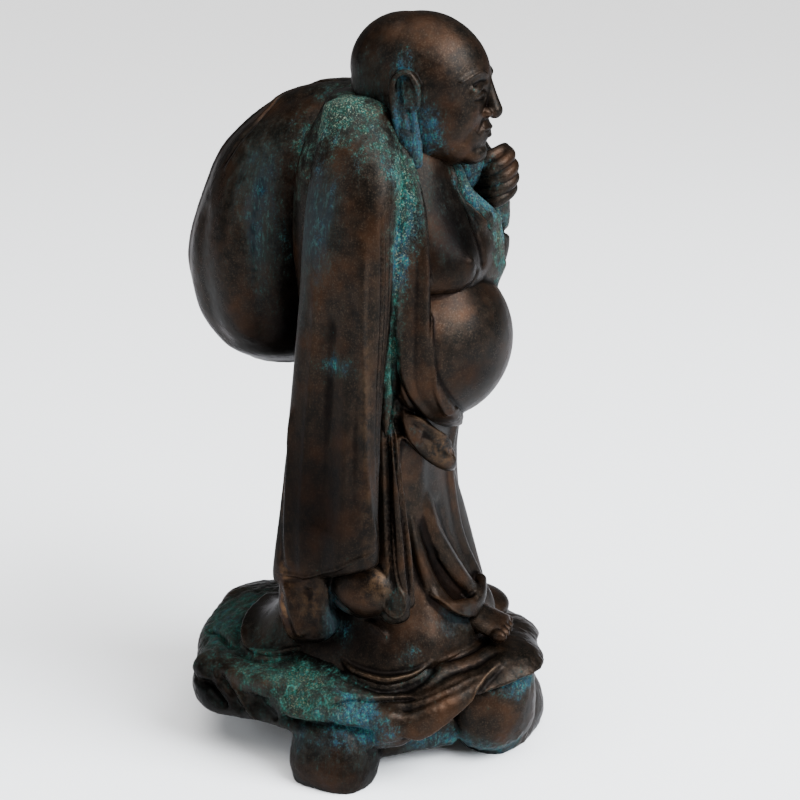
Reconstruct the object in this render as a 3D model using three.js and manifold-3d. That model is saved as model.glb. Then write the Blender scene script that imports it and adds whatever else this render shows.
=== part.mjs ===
// A cast bronze figure of Budai, standing on a rock plinth with a sack on the back. It is one casting.
// Millimetres, +Z up. The figure looks along -Y, and its right side is at -X.
import * as THREE from "three";
import { ParametricGeometry } from "three/addons/geometries/ParametricGeometry.js";
import { mergeVertices } from "three/addons/utils/BufferGeometryUtils.js";
import Module from "manifold-3d";

const wasm = await Module();
wasm.setup();

// Driving dimensions
const FIGURE_HEIGHT = 218; // from the top of the plinth to the crown of the head
const PLINTH_WIDTH = 116; // across the figure, along X
const PLINTH_DEPTH = 132; // from front to back, along Y
const RIM_THICKNESS = 15; // of the rock slab at its edge
const SLAB_RISE = 9; // from the edge of the slab up to the place where the figure stands
const CLEARANCE = 16; // under the slab, between the stones
const SIDE_STONE = { width: 26, depth: 30 }; // the stones that carry the slab, on the figure's right
const LEFT_STONE = { width: 24, depth: 30 };
const FRONT_STONE = { width: 42, depth: 24 };
const BACK_STONE = { width: 30, depth: 24 };
const STONE_OVERLAP = 6; // the length over which a stone is sunk into the slab

const PLINTH_TOP = CLEARANCE + RIM_THICKNESS + SLAB_RISE;

// Every length of the figure below is a share of its height: 1 is a hundredth.
const SHARE = FIGURE_HEIGHT / 100;

const { cos, sin, abs, sign, sqrt, exp, PI, min, max, hypot } = Math;
const radians = THREE.MathUtils.degToRad;
const smooth = THREE.MathUtils.smoothstep;

// Solids from surfaces of two parameters

// A closed solid. pointAt(u, v, target) gives the surface.
// u runs once round, and v from one pole to the other.
function solidFrom(pointAt, around, along) {
  const grid = new ParametricGeometry(pointAt, around, along);
  grid.deleteAttribute("normal");
  grid.deleteAttribute("uv");
  const merged = mergeVertices(grid, 1e-4);
  const corners = Array.from(merged.index.array);
  const triVerts = [];
  for (let i = 0; i < corners.length; i += 3) {
    const [a, b, c] = corners.slice(i, i + 3);
    if (a !== b && b !== c && c !== a) triVerts.push(a, b, c);
  }
  const make = (order) =>
    new wasm.Manifold(
      new wasm.Mesh({
        numProp: 3,
        vertProperties: new Float32Array(merged.attributes.position.array),
        triVerts: new Uint32Array(order),
      }),
    );
  const solid = make(triVerts);
  return solid.volume() > 0 ? solid : make(triVerts.reverse());
}

// The value of a list at a place between its entries, on a Catmull-Rom curve.
function between(list, place) {
  const last = list.length - 1;
  const i = min(Math.floor(place), last - 1);
  const t = place - i;
  const [a, b, c, d] = [i - 1, i, i + 1, i + 2].map((k) => list[max(0, min(last, k))]);
  return b + 0.5 * t * (c - a + t * (2 * a - 5 * b + 4 * c - d + t * (3 * (b - c) + d - a)));
}

const column = (rows, k) => rows.map((row) => row[k]);

// Ring i of a form that has so many rings along it and at each of its ends, where they get smaller as a
// quarter circle does. t is its place along the body, size its share of the full section, and end how far
// it is into the closed part, from -1 at the first pole to 1 at the last.
function ringAt(i, along, ends) {
  const quarter = (k) => ((PI / 2) * k) / ends;
  const left = along + 2 * ends - i;
  if (i < ends) return { t: 0, size: sin(quarter(i)), end: -cos(quarter(i)) };
  if (left < ends) return { t: 1, size: sin(quarter(left)), end: cos(quarter(left)) };
  return { t: (i - ends) / along, size: 1, end: 0 };
}

// A form laid up from level outlines. A row is [z, x, y, right, left, front, back, squareness].
// The angle round it is 0 at the front and 90 degrees at the figure's left.
// fold(angle, z) adds to the radius.
// The ends rise by capLow and capHigh, and an end of 0 is flat.
function loft(rows, { around, along, ends = 2, capLow = 1, capHigh = 1, fold = () => 0 }) {
  const columns = rows[0].map((_, k) => column(rows, k));
  const rings = along + 2 * ends;
  return solidFrom(
    (u, v, target) => {
      const { t, size, end } = ringAt(Math.round(v * rings), along, ends);
      const [z, x, y, right, left, front, back, square] = columns.map((c) =>
        between(c, t * (rows.length - 1)),
      );
      const angle = 2 * PI * u;
      const [s, c] = [sin(angle), -cos(angle)];
      const reach =
        (abs(s / (s > 0 ? left : right)) ** square + abs(c / (c < 0 ? front : back)) ** square) **
        (-1 / square);
      const r = (reach + fold((angle * 180) / PI, z)) * size;
      target.set(x + r * s, y + r * c, z + (end < 0 ? capLow : capHigh) * end);
    },
    around,
    rings,
  );
}

// An ellipsoid. turn is its rotation in degrees about X, Y and Z.
function blob([x, y, z], [rx, ry, rz], { turn = [0, 0, 0], around = 16, along = 9 } = {}) {
  const rotation = new THREE.Matrix4().makeRotationFromEuler(
    new THREE.Euler(...turn.map((a) => radians(a)), "XYZ"),
  );
  return solidFrom(
    (u, v, target) => {
      const [a, b] = [2 * PI * u, PI * v];
      target.set(rx * sin(b) * cos(a), ry * sin(b) * sin(a), rz * cos(b));
      target.applyMatrix4(rotation).add(new THREE.Vector3(x, y, z));
    },
    around,
    along,
  );
}

// A rounded form carried along a curve through points. A row is [x, y, z, half width, half thickness].
// side is the direction in which the width is measured.
function limb(rows, { side = [1, 0, 0], around = 5, along = 4, ends = 1, square = 2 } = {}) {
  const curve = new THREE.CatmullRomCurve3(rows.map(([x, y, z]) => new THREE.Vector3(x, y, z)));
  const [widths, depths] = [column(rows, 3), column(rows, 4)];
  const across = new THREE.Vector3(...side);
  const rings = along + 2 * ends;
  const power = 2 / square;
  return solidFrom(
    (u, v, target) => {
      const { t, size, end } = ringAt(Math.round(v * rings), along, ends);
      const place = t * (rows.length - 1);
      const [w, d] = [between(widths, place), between(depths, place)];
      const tangent = curve.getTangent(t).normalize();
      const outward = new THREE.Vector3().crossVectors(tangent, across).normalize();
      const sideways = new THREE.Vector3().crossVectors(outward, tangent);
      const [c, s] = [cos(2 * PI * u), sin(2 * PI * u)];
      target
        .copy(curve.getPoint(t))
        .addScaledVector(sideways, w * size * sign(c) * abs(c) ** power)
        .addScaledVector(outward, d * size * sign(s) * abs(s) ** power)
        .addScaledVector(tangent, min(w, d) * end);
    },
    around,
    rings,
  );
}

// Folds are ridges (or furrows, with a negative height) on straight lines of angle and height.
// A row is [angle, z, angle, z, width in degrees, height]. They fade out at both ends.
function foldsOf(rows) {
  return (angle, z) => {
    let sum = 0;
    for (const [a0, z0, a1, z1, width, height] of rows) {
      const t = (z - z0) / (z1 - z0);
      if (t < -0.1 || t > 1.1) continue;
      let off = angle - (a0 + (a1 - a0) * t);
      off -= 360 * Math.round(off / 360);
      const fade = smooth(t, -0.1, 0.12) * (1 - smooth(t, 0.88, 1.1));
      sum += height * fade * exp(-((off / width) ** 2));
    }
    return sum;
  };
}

// The figure, in shares of its height

const drapery = foldsOf([
  [-38, 0, -30, 40, 5, 0.9],
  [-28, 0, -22, 38, 4, -0.7],
  [30, 0, 24, 40, 6, 0.9],
  [62, 0, 52, 44, 8, 1],
  [84, -2, 76, 40, 7, -0.9],
  [108, -2, 104, 44, 8, 1],
  [140, -2, 150, 46, 9, 1.1],
  [168, -2, 170, 44, 7, -0.9],
  [192, -2, 186, 46, 9, 1.1],
  [222, -2, 214, 44, 9, 1],
]);

function robe() {
  const rows = [
    [-2, -0.5, -2, 18, 17, 18, 17, 2.2],
    [2.5, 0, -3, 16.6, 16, 17, 15, 2.2],
    [8, 0, -3.5, 15, 15, 13.8, 13.5, 2.2],
    [16, 0, -3, 14.5, 14.5, 10.8, 12.6, 2.2],
    [28, 0, -3, 14, 14, 9.2, 12, 2.2],
    [36, 0, -3, 14, 14.5, 10.2, 12, 2.3],
    [44, 0, -3, 14.8, 15.5, 11, 12, 2.4],
    [54, 0, -3, 15, 16, 9.8, 12, 2.5],
    [64, 0, -3, 15.5, 16, 9.6, 13, 2.6],
    [74, 0, -3, 16, 16.5, 9.4, 12.5, 2.5],
    [80, 0, -2, 14, 16, 8.6, 10.5, 2.3],
    [84.6, -0.5, -1, 10.5, 12, 7, 7.5, 2.1],
    [87, -1, 0, 7, 8, 5, 5.5, 2],
  ];
  return loft(rows, { around: 32, along: 13, capLow: 0.5, capHigh: 1.2, fold: drapery });
}

function trunk() {
  const rows = [
    [54, 0, -8, 11, 11, 9, 6, 2],
    [60.4, 0, -8, 11.6, 11.6, 8.8, 6, 2.1],
    [64, 0, -8, 12, 12, 9.4, 6, 2.3],
    [69, 0, -8, 11.4, 11.4, 9, 6, 2.2],
    [75, 0, -8, 9, 9, 6.8, 5, 2.1],
    [82, 0, -8, 5.6, 5.6, 4.8, 5, 2],
  ];
  const breasts = [-1, 1].map((side) =>
    blob([side * 5.7, -12.9, 65.2], [6.6, 6, 6], { turn: [-20, 0, 0], around: 14, along: 8 }),
  );
  const nipple = blob([-5.6, -18.9, 64], [0.8, 0.8, 0.8], { around: 6, along: 4 });
  return wasm.Manifold.union([
    loft(rows, { around: 18, along: 6 }),
    blob([0, -11, 49.5], [14.2, 12.4, 12.9], { around: 20, along: 11 }),
    ...breasts,
    nipple,
  ]);
}

// The border of the robe: it falls on both sides of the chest and meets under the belly.
function border() {
  const right = [
    [-2, 1.5, 86, 2, 1.2],
    [-7.5, -2.5, 84.5, 2.2, 1.2],
    [-10, -8.6, 79, 2.4, 1.2],
    [-11.8, -12.6, 72, 2.4, 1.2],
    [-12.8, -14.2, 64, 2.4, 1.1],
    [-13.6, -14.4, 52, 2.4, 1.1],
    [-12.6, -15.2, 46.6, 2.3, 1.1],
    [-8.6, -16.8, 41.8, 2, 1.1],
    [-3, -16, 38.3, 1.5, 1],
    [2, -14, 36, 1, 0.9],
  ];
  const left = [
    [-1, 1.5, 86, 2, 1.2],
    [5.4, -3, 83, 2, 1.2],
    [4, -11, 78, 1.9, 1],
    [5.4, -13.6, 73.2, 1.9, 1],
    [7.8, -15.6, 68.6, 1.9, 1],
    [10.4, -15.4, 62, 2, 1],
    [13.2, -14.6, 52, 2, 1],
    [11.8, -15.8, 46, 2, 1],
    [7.4, -16.4, 40.8, 1.8, 1],
    [3, -14.6, 36.6, 1.4, 1],
  ];
  return wasm.Manifold.union([
    limb(right, { side: [0.45, -0.9, 0.1], around: 6, along: 12, square: 3 }),
    limb(left, { side: [-0.45, -0.9, 0.1], around: 6, along: 10, square: 3 }),
  ]);
}

// Raised folds on the skirt. A row of a fold is [x, y, z, half width, half thickness].
function skirt() {
  const pouch = [
    [-10.6, -9.8, 40, 1, 1],
    [-8.2, -13, 36.6, 2.2, 1.6],
    [-3.4, -15.4, 33.6, 2.4, 1.8],
    [0, -13.8, 32.4, 1.2, 1],
  ];
  const pouchEdge = [
    [-11, -11, 41.6, 0.8, 0.8],
    [-6, -15, 38, 0.9, 0.9],
    [0.6, -15, 34, 0.8, 0.8],
  ];
  // three long folds frame the front of the skirt
  const middleFold = [
    [-3.6, -11.6, 31, 0.8, 0.8],
    [-3, -12, 25, 1.3, 1],
    [-1.4, -13.4, 18.5, 1.6, 1.2],
    [3.2, -17.4, 8, 1.8, 1.5],
  ];
  const rightFold = [
    [-5.2, -11.4, 28, 0.8, 0.8],
    [-5.6, -12.1, 22.5, 1.3, 1],
    [-6.6, -13.6, 14.5, 1.5, 1.2],
    [-5.4, -16.6, 7, 1.7, 1.4],
  ];
  const leftFold = [
    [4.5, -11.5, 31, 0.8, 0.8],
    [6.5, -12, 23, 1.3, 1],
    [9, -13.2, 14.5, 1.5, 1.2],
    [9.6, -15, 6, 1.7, 1.4],
  ];
  const pleats = [0, 1, 2].map((i) => [
    [-12.2 + 1.1 * i, -8.6 - i, 46 - 3 * i, 0.6, 0.6],
    [-11.4 + 1.6 * i, -8.2 - 1.1 * i, 30 - 1.5 * i, 0.8, 0.7],
    [-13 + 1.7 * i, -10 - 1.1 * i, 15, 0.8, 0.7],
    [-14 + 2.1 * i, -11 - 1.4 * i, 7 - i, 0.8, 0.7],
  ]);
  const lip = [
    [-7.6, -14.4, 9, 1.4, 1],
    [-5, -17.6, 5.6, 1.9, 1.4],
    [0.6, -19.2, 5.2, 2, 1.5],
    [5.4, -17.4, 7.6, 1.6, 1.2],
  ];
  const folds = [pouch, pouchEdge, middleFold, rightFold, leftFold, ...pleats];
  return wasm.Manifold.union([
    ...folds.map((rows) => limb(rows, { around: 5, along: 4 })),
    limb(lip, { side: [0, -0.4, 1], around: 6, along: 5 }),
  ]);
}

// The head is built looking along -Y, then turned to the figure's left and set on the neck.
function head() {
  const small = { side: [0, 0, 1], around: 5, along: 3 };
  const forms = [
    blob([0, 0.1, 0], [8.9, 10.8, 10.4], { around: 18, along: 11 }),
    blob([0, 2.4, 2.2], [7.9, 8.6, 8.1], { around: 12, along: 6 }),
    blob([0, -2.6, -5], [7.9, 7.9, 8], { around: 14, along: 8 }),
    blob([0, -7.2, -10.6], [3.4, 3, 2.3], { around: 10, along: 6 }),
    limb(
      [
        [0, -9.8, 0.8, 0.8, 0.8],
        [0, -10.7, -2, 0.9, 0.9],
        [0, -11.3, -4.3, 1.2, 1.1],
      ],
      { around: 7, along: 3 },
    ),
    limb([[-2.5, -9.6, -7, 0.4, 0.4], [0, -10.5, -6.7, 0.6, 0.6], [2.5, -9.6, -7, 0.4, 0.4]], small),
    limb([[-2, -9.5, -8, 0.4, 0.4], [0, -10.2, -8.2, 0.7, 0.7], [2, -9.5, -8, 0.4, 0.4]], small),
  ];
  for (const side of [-1, 1]) {
    const rim = [
      [side * 8.7, -1.8, -3.2, 0.6, 0.6],
      [side * 9, -1.4, 0.8, 0.7, 0.7],
      [side * 9.3, 0.4, 2.7, 0.8, 0.8],
      [side * 9.5, 2.1, 1, 0.8, 0.8],
      [side * 9.3, 1.7, -3, 0.8, 0.8],
    ];
    const lobe = [
      [side * 8.7, 0.2, 0.5, 1.6, 0.6],
      [side * 8.8, 0.2, -4, 1.8, 0.9],
      [side * 8.6, -0.2, -8.5, 1.7, 1.1],
      [side * 8.4, -0.6, -12.2, 1.6, 1.1],
    ];
    const brow = [
      [side * 1, -9.9, 1.2, 0.5, 0.5],
      [side * 3.6, -9.5, 2, 0.6, 0.6],
      [side * 6.4, -7.4, 1, 0.5, 0.5],
    ];
    forms.push(
      blob([side * 3.4, -9, -0.9], [1.9, 1.1, 1], { around: 8, along: 5 }),
      blob([side * 1.3, -10.5, -4.6], [0.8, 1, 0.7], { around: 6, along: 4 }),
      limb(brow, small),
      limb(rim, { side: [1, 0, 0], around: 5, along: 6 }),
      limb(lobe, { side: [0, 1, 0], around: 6, along: 4 }),
    );
  }
  return wasm.Manifold.union(forms)
    .rotate([0, 0, 13])
    .translate([0, -9, 89.6])
    .add(blob([0, -8.6, 80], [5.4, 5.2, 8], { around: 12, along: 7 }));
}

function sack() {
  const rows = [
    [43, 4, 17, 7, 7, 6, 8, 2],
    [46, 4, 17, 12.5, 12.5, 10, 11.4, 2],
    [52, 4, 16.6, 16.2, 16.2, 12, 15.4, 2],
    [61, 4, 16, 17.5, 17.5, 12, 16.4, 2.1],
    [70, 4, 14, 16.6, 16.6, 11, 15.8, 2.1],
    [78, 4, 11, 14, 14, 10, 15, 2.1],
    [84, 4.5, 8, 10.5, 10, 9, 11.6, 2],
    [87, 5, 6, 7, 7, 7, 7, 2],
  ];
  const creases = foldsOf([
    [-168, 60, -178, 90, 6, -1],
    [-150, 56, -166, 90, 5, 0.7],
    [150, 58, 172, 90, 6, 0.8],
    [176, 44, 150, 84, 7, -0.6],
  ]);
  return wasm.Manifold.union([
    loft(rows, { around: 22, along: 10, capLow: 1, capHigh: 1.6, fold: creases }),
    limb(
      [
        [6, 8, 80, 7, 6],
        [10.6, -1, 83.5, 4.6, 3.6],
        [12.4, -8.4, 80.5, 3, 2.6],
        [12.3, -14, 75.5, 2.4, 2.2],
        [12.2, -15.6, 70.4, 2.8, 1.8],
      ],
      { around: 8, along: 7 },
    ),
  ]);
}

function rightSleeve() {
  const rows = [
    [14.6, -18, -1.4, 2.6, 3, 9, 9, 2.8],
    [17, -18.2, -1.6, 3.2, 3, 9.1, 9.2, 2.8],
    [26, -18.3, -2.4, 3.6, 3.4, 8.3, 8.4, 2.7],
    [42, -18, -3.6, 3.8, 3.4, 7.4, 7.5, 2.6],
    [58, -17.4, -4.8, 4, 3.6, 7.4, 7.2, 2.5],
    [69, -16.6, -5.2, 4.4, 4.6, 7.3, 7, 2.4],
    [76, -15, -5.2, 4.8, 5.5, 7.2, 6.8, 2.2],
    [81, -12.8, -4.4, 5.2, 6.5, 6.6, 6, 2.1],
    [86, -9.4, -2.6, 5, 6, 5, 4.8, 2],
  ];
  // The hem rises towards the front, and both edges stand out from the flat of the sleeve.
  const shape = loft(rows, {
    around: 18,
    along: 10,
    capLow: 0.3,
    capHigh: 1.8,
    fold: foldsOf([
      [-42, 12, -44, 66, 10, 0.5],
      [-128, 12, -126, 62, 8, 0.4],
      [-80, 14, -86, 60, 26, -0.5],
    ]),
  });
  return shape.warp((point) => {
    const [, y, z] = point;
    point[2] += max(0, 1 - (z - 14) / 30) * (-y - 2) * 0.32 * (z < 44 ? 1 : 0);
  });
}

function leftArm() {
  const arm = limb(
    [
      [12, -1, 82, 5.5, 5],
      [16, -2, 74, 5.5, 5.5],
      [17.4, -5, 65, 5, 5.5],
      [15.6, -11, 62.4, 4.4, 4.8],
      [13.4, -14.2, 66.4, 3.6, 3.6],
      [12.4, -15.2, 70.8, 3, 3],
    ],
    { around: 8, along: 8 },
  );
  const rows = [
    [28, 18, 0, 2.4, 2.6, 6, 8.5, 2.6],
    [40, 18, -1.4, 3, 3, 6.5, 8.5, 2.6],
    [52, 17, -4, 3.4, 3.6, 8.4, 9, 2.5],
    [59, 15.6, -6.6, 3.8, 4, 9.6, 9.6, 2.4],
    [64, 14.4, -8, 3.4, 4, 9.4, 9.6, 2.2],
    [68, 14, -8, 3, 4, 7.6, 8, 2],
  ];
  const hanging = loft(rows, { around: 12, along: 6, capLow: 0.5, capHigh: 1.5 });
  // the mouth of the sleeve, below the wrist
  const mouth = blob([12.4, -18.6, 61.6], [2, 3, 3.6], { turn: [-24, 0, 0], around: 8, along: 6 });
  const palm = blob([12.6, -15.6, 73.8], [2.8, 2.8, 3.6], { around: 10, along: 6 });
  const fingers = [0, 1, 2, 3].map((i) => {
    const [z, y] = [76.9 - 1.75 * i, -15.2 - 0.25 * i];
    return limb(
      [
        [9.2, y + 0.6, z - 1.1, 0.85, 0.85],
        [9.6, y - 2, z - 0.7, 1, 0.95],
        [11.6, y - 3.3, z, 1, 1],
        [14, y - 2.6, z + 0.5, 1, 1],
        [15.6, y - 0.4, z + 0.6, 0.9, 0.9],
      ],
      { side: [0, 0, 1], around: 5, along: 4 },
    );
  });
  const thumb = limb(
    [
      [13, -14, 77.6, 1, 1],
      [11.6, -15.4, 79, 1.1, 1],
      [10, -17, 78.8, 0.9, 0.9],
    ],
    { side: [0, 0, 1], around: 6, along: 3 },
  );
  const shoulder = blob([9, -8, 78], [5, 5, 6], { around: 10, along: 6 });
  return wasm.Manifold.union([arm, shoulder, hanging, palm, thumb, ...fingers]).subtract(mouth);
}

// The lower edge of the robe, spread over the rock, and the foot that shows in front.
function hem() {
  const upright = { side: [0, 1, 0], around: 7, along: 4 };
  const spread = { around: 12, along: 6 };
  const toes = [0, 1, 2, 3, 4].map((i) =>
    blob([-3.4 + 1.7 * i, -23.6 + 0.1 * i * i, 1.7], [1, 1.5, 1.1 - 0.06 * i], { around: 5, along: 3 }),
  );
  const foot = [
    [-1, -12, 3.4, 3, 2.4],
    [-0.4, -18, 3, 3.6, 2],
    [0, -22.4, 1.8, 4, 1.5],
  ];
  // two ends of cloth hang down below the right sleeve, with a full fold between them
  const widePanel = [
    [-17.4, 2, 17, 4.6, 3],
    [-17.9, 2.6, 8, 4.8, 3.2],
    [-17.6, 1, 1.8, 5.2, 3.2],
  ];
  const narrowPanel = [
    [-14, -11.2, 21, 2, 1.2],
    [-14.6, -11.6, 13, 2.5, 1.7],
    [-15, -12.2, 7.6, 2.5, 1.7],
  ];
  return wasm.Manifold.union([
    blob([-13.8, -10, 0.2], [8.8, 7.6, 3.6], { turn: [4, 6, -10], ...spread }),
    blob([-5.6, -17.6, 0.2], [10.5, 6.8, 3.2], { turn: [6, 0, -12], ...spread }),
    limb(foot, { around: 8, along: 4 }),
    ...toes,
    limb(widePanel, { ...upright, square: 3.4 }),
    blob([-15, -6.2, 11.8], [3.8, 6, 4.8], { around: 10, along: 6 }),
    limb(narrowPanel, upright),
    blob([-13, 10, -0.2], [11, 9.6, 3.6], { turn: [0, 0, 20], ...spread }),
    blob([11, 10, -0.2], [10, 9, 3.4], spread),
    blob([12, -10, 0], [8, 9, 3.2], { turn: [0, 0, 20], ...spread }),
  ]);
}

// The rock plinth, in millimetres. Its slab is a little nearer to the front than the figure's feet.

const [HALF_WIDTH, HALF_DEPTH] = [PLINTH_WIDTH / 2, PLINTH_DEPTH / 2];
const SLAB_CENTRE_Y = 3;

// The rim is lobed like a leaf, and hangs lower on the figure's right.
const lobe = (a) => 1 + 0.03 * cos(6 * a + 0.9) + 0.035 * cos(3 * a - 0.4) + 0.02 * cos(9 * a);
const sag = (a) => 3.4 * cos(a + 1.35) - 2.2 * cos(4 * a + 0.3) + 1;

function slab() {
  const edge = PLINTH_TOP - SLAB_RISE;
  // Rows from the middle of the top to the middle of the underside, by way of the rim:
  // [share of the half width, height, share of the sag]
  const section = [
    [0, PLINTH_TOP, 0],
    [0.3, PLINTH_TOP, 0],
    [0.62, PLINTH_TOP - SLAB_RISE * 0.06, 0],
    [0.84, PLINTH_TOP - SLAB_RISE * 0.4, 0.5],
    [0.97, edge + RIM_THICKNESS * 0.1, 1],
    [1, edge - RIM_THICKNESS * 0.3, 1],
    [0.96, edge - RIM_THICKNESS * 0.7, 1],
    [0.84, edge - RIM_THICKNESS * 0.9, 0.8],
    [0.6, CLEARANCE, 0.3],
    [0.3, CLEARANCE, 0],
    [0, CLEARANCE, 0],
  ];
  const [reach, height, hang] = [0, 1, 2].map((k) => column(section, k));
  return solidFrom(
    (u, v, target) => {
      const a = 2 * PI * u;
      const place = v * (section.length - 1);
      const share = between(hang, place);
      const r = max(0, between(reach, place)) * (1 + (lobe(a) - 1) * min(1, share * 2));
      target.set(
        HALF_WIDTH * r * sin(a),
        SLAB_CENTRE_Y - HALF_DEPTH * r * cos(a),
        between(height, place) - share * sag(a),
      );
    },
    32,
    12,
  );
}

// A stone stands on the ground at a place given as shares of the slab's half width and half depth.
function stone([shareX, shareY], { width, depth }) {
  const [x, y] = [shareX * HALF_WIDTH, SLAB_CENTRE_Y + shareY * HALF_DEPTH];
  const top = CLEARANCE + STONE_OVERLAP;
  const row = (z, inward, size, square) => {
    const [rx, ry] = [(width / 2) * size, (depth / 2) * size];
    return [z, x * inward, y * inward, rx, rx, ry, ry, square];
  };
  const rows = [
    row(0, 1, 0.9, 3),
    row(top * 0.35, 1, 1, 2.8),
    row(top * 0.8, 0.97, 0.9, 2.5),
    row(top, 0.93, 0.7, 2.3),
  ];
  return loft(rows, { around: 12, along: 3, ends: 1, capLow: 0, capHigh: STONE_OVERLAP / 2 });
}

// A rolled lip of rock along the rim, from the front round to the figure's right.
function rolledLip() {
  const rows = [
    [-8, 0.86, 0.3, 0.25],
    [-28, 0.9, 0.5, 0.4],
    [-48, 0.88, 0.62, 0.45],
    [-66, 0.88, 0.35, 0.3],
  ].map(([angle, out, width, thickness]) => {
    const a = radians(angle);
    const r = out * lobe(a);
    return [
      HALF_WIDTH * r * sin(a),
      SLAB_CENTRE_Y - HALF_DEPTH * r * cos(a),
      PLINTH_TOP - SLAB_RISE - RIM_THICKNESS * 0.35 - sag(a),
      RIM_THICKNESS * width,
      RIM_THICKNESS * thickness,
    ];
  });
  return limb(rows, { side: [0, 0, 1], around: 8, along: 6, ends: 2 });
}

function plinth() {
  return wasm.Manifold.union([
    slab(),
    rolledLip(),
    stone([-0.81, -0.2], SIDE_STONE),
    stone([0.72, 0.08], LEFT_STONE),
    stone([0.19, -0.77], FRONT_STONE),
    stone([-0.09, 0.8], BACK_STONE),
  ]);
}

function casting() {
  const figure = wasm.Manifold.union([
    robe(),
    trunk(),
    border(),
    skirt(),
    head(),
    sack(),
    rightSleeve(),
    leftArm(),
    hem(),
  ])
    .scale([SHARE, SHARE, SHARE])
    .translate([0, 0, PLINTH_TOP]);
  // Hollows that the overlapping forms enclose are cast solid.
  const [outside] = figure
    .add(plinth())
    .decompose()
    .sort((a, b) => b.volume() - a.volume());
  const { min: low, max: high } = outside.boundingBox();
  return outside.translate([-(low[0] + high[0]) / 2, -(low[1] + high[1]) / 2, -low[2]]);
}

function geometryOf(solid) {
  const { vertProperties, triVerts, numProp, numVert } = solid.getMesh();
  const position = new Float32Array(numVert * 3);
  for (let i = 0; i < numVert; i++)
    position.set(vertProperties.subarray(i * numProp, i * numProp + 3), 3 * i);
  const geometry = new THREE.BufferGeometry()
    .setAttribute("position", new THREE.BufferAttribute(position, 3))
    .setIndex(new THREE.BufferAttribute(triVerts, 1));
  geometry.computeVertexNormals();
  return geometry;
}

const bronze = new THREE.MeshStandardMaterial({ color: 0x4a3426, metalness: 0.9, roughness: 0.4 });
const budai = new THREE.Mesh(geometryOf(casting()), bronze);
budai.name = "budai_figure";

const part = new THREE.Group();
part.add(budai);
export default part;
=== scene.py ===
"""A cast bronze Budai with a sack on the back, on a rock plinth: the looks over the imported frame."""
import math

import bpy
import numpy as np
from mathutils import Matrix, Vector
from mathutils.bvhtree import BVHTree


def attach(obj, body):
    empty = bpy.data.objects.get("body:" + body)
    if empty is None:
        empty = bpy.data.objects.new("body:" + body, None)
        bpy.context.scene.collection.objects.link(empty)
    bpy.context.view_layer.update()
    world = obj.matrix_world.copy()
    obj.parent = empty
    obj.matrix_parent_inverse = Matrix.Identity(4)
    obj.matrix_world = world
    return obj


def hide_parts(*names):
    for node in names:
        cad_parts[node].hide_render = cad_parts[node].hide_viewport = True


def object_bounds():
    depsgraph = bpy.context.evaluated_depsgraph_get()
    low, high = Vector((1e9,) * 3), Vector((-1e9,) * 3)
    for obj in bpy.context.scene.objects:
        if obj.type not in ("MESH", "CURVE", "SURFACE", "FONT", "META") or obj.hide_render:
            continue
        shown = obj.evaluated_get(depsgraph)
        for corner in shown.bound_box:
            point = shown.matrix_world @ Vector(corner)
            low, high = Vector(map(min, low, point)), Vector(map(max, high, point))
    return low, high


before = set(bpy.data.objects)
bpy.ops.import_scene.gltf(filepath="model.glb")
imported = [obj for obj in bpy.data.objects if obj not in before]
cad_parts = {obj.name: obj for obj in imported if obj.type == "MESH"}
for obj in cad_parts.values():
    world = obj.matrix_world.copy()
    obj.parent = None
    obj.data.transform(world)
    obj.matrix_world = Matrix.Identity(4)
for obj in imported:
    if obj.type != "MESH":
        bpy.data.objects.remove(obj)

cad_box = [list(corner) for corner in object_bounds()]


# The camera
# It isn't part of the statue. It looks down a little on the figure's right side, as the photograph does, so
# the belly and the fist are at the right of the image.

MM = 0.001
camera_place = Vector((-551.2, -294.8, 306.5)) * MM
camera_target = Vector((4.4, -11.7, 123.0)) * MM
camera_lens = 83.25

camera = bpy.data.objects.new("camera", bpy.data.cameras.new("camera"))
bpy.context.scene.collection.objects.link(camera)
camera.data.lens = camera_lens
camera.data.sensor_width = 36.0
camera.data.clip_start = 0.01
camera.location = camera_place
camera.rotation_euler = (camera_target - camera_place).to_track_quat("-Z", "Y").to_euler()
bpy.context.scene.camera = camera


# The robe
# A long open gown with hanging sleeves, of bronze and cast in one with the figure's trunk and arms. The wax
# model was built up and tooled by hand, so the folds are soft ridges with narrow grooves between them.

PLINTH_TOP = 40.0 * MM
FIGURE_HEIGHT = cad_box[1][2] - cad_box[0][2] - PLINTH_TOP
SHARE = FIGURE_HEIGHT / 100
# where the figure's own axis stands in the frame
AXIS = np.array([1.5, -1.64, 0.0]) * MM

robe_rows = [
    # z, x, y, right, left, front, back, squareness
    (-2, -0.5, -2, 18, 17, 18, 17, 2.2),
    (2.5, 0, -3, 16.6, 16, 17, 15, 2.2),
    (8, 0, -3.5, 15, 15, 13.8, 13.5, 2.2),
    (16, 0, -3, 14.5, 14.5, 10.8, 12.6, 2.2),
    (28, 0, -3, 14, 14, 9.2, 12, 2.2),
    (36, 0, -3, 14, 14.5, 10.2, 12, 2.3),
    (44, 0, -3, 14.8, 15.5, 11, 12, 2.4),
    (54, 0, -3, 15, 16, 9.8, 12, 2.5),
    (64, 0, -3, 15.5, 16, 9.6, 13, 2.6),
    (74, 0, -3, 16, 16.5, 9.4, 12.5, 2.5),
    (80, 0, -2, 14, 16, 8.6, 10.5, 2.3),
    (84.6, -0.5, -1, 10.5, 12, 7, 7.5, 2.1),
    (87, -1, 0, 7, 8, 5, 5.5, 2),
]
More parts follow.
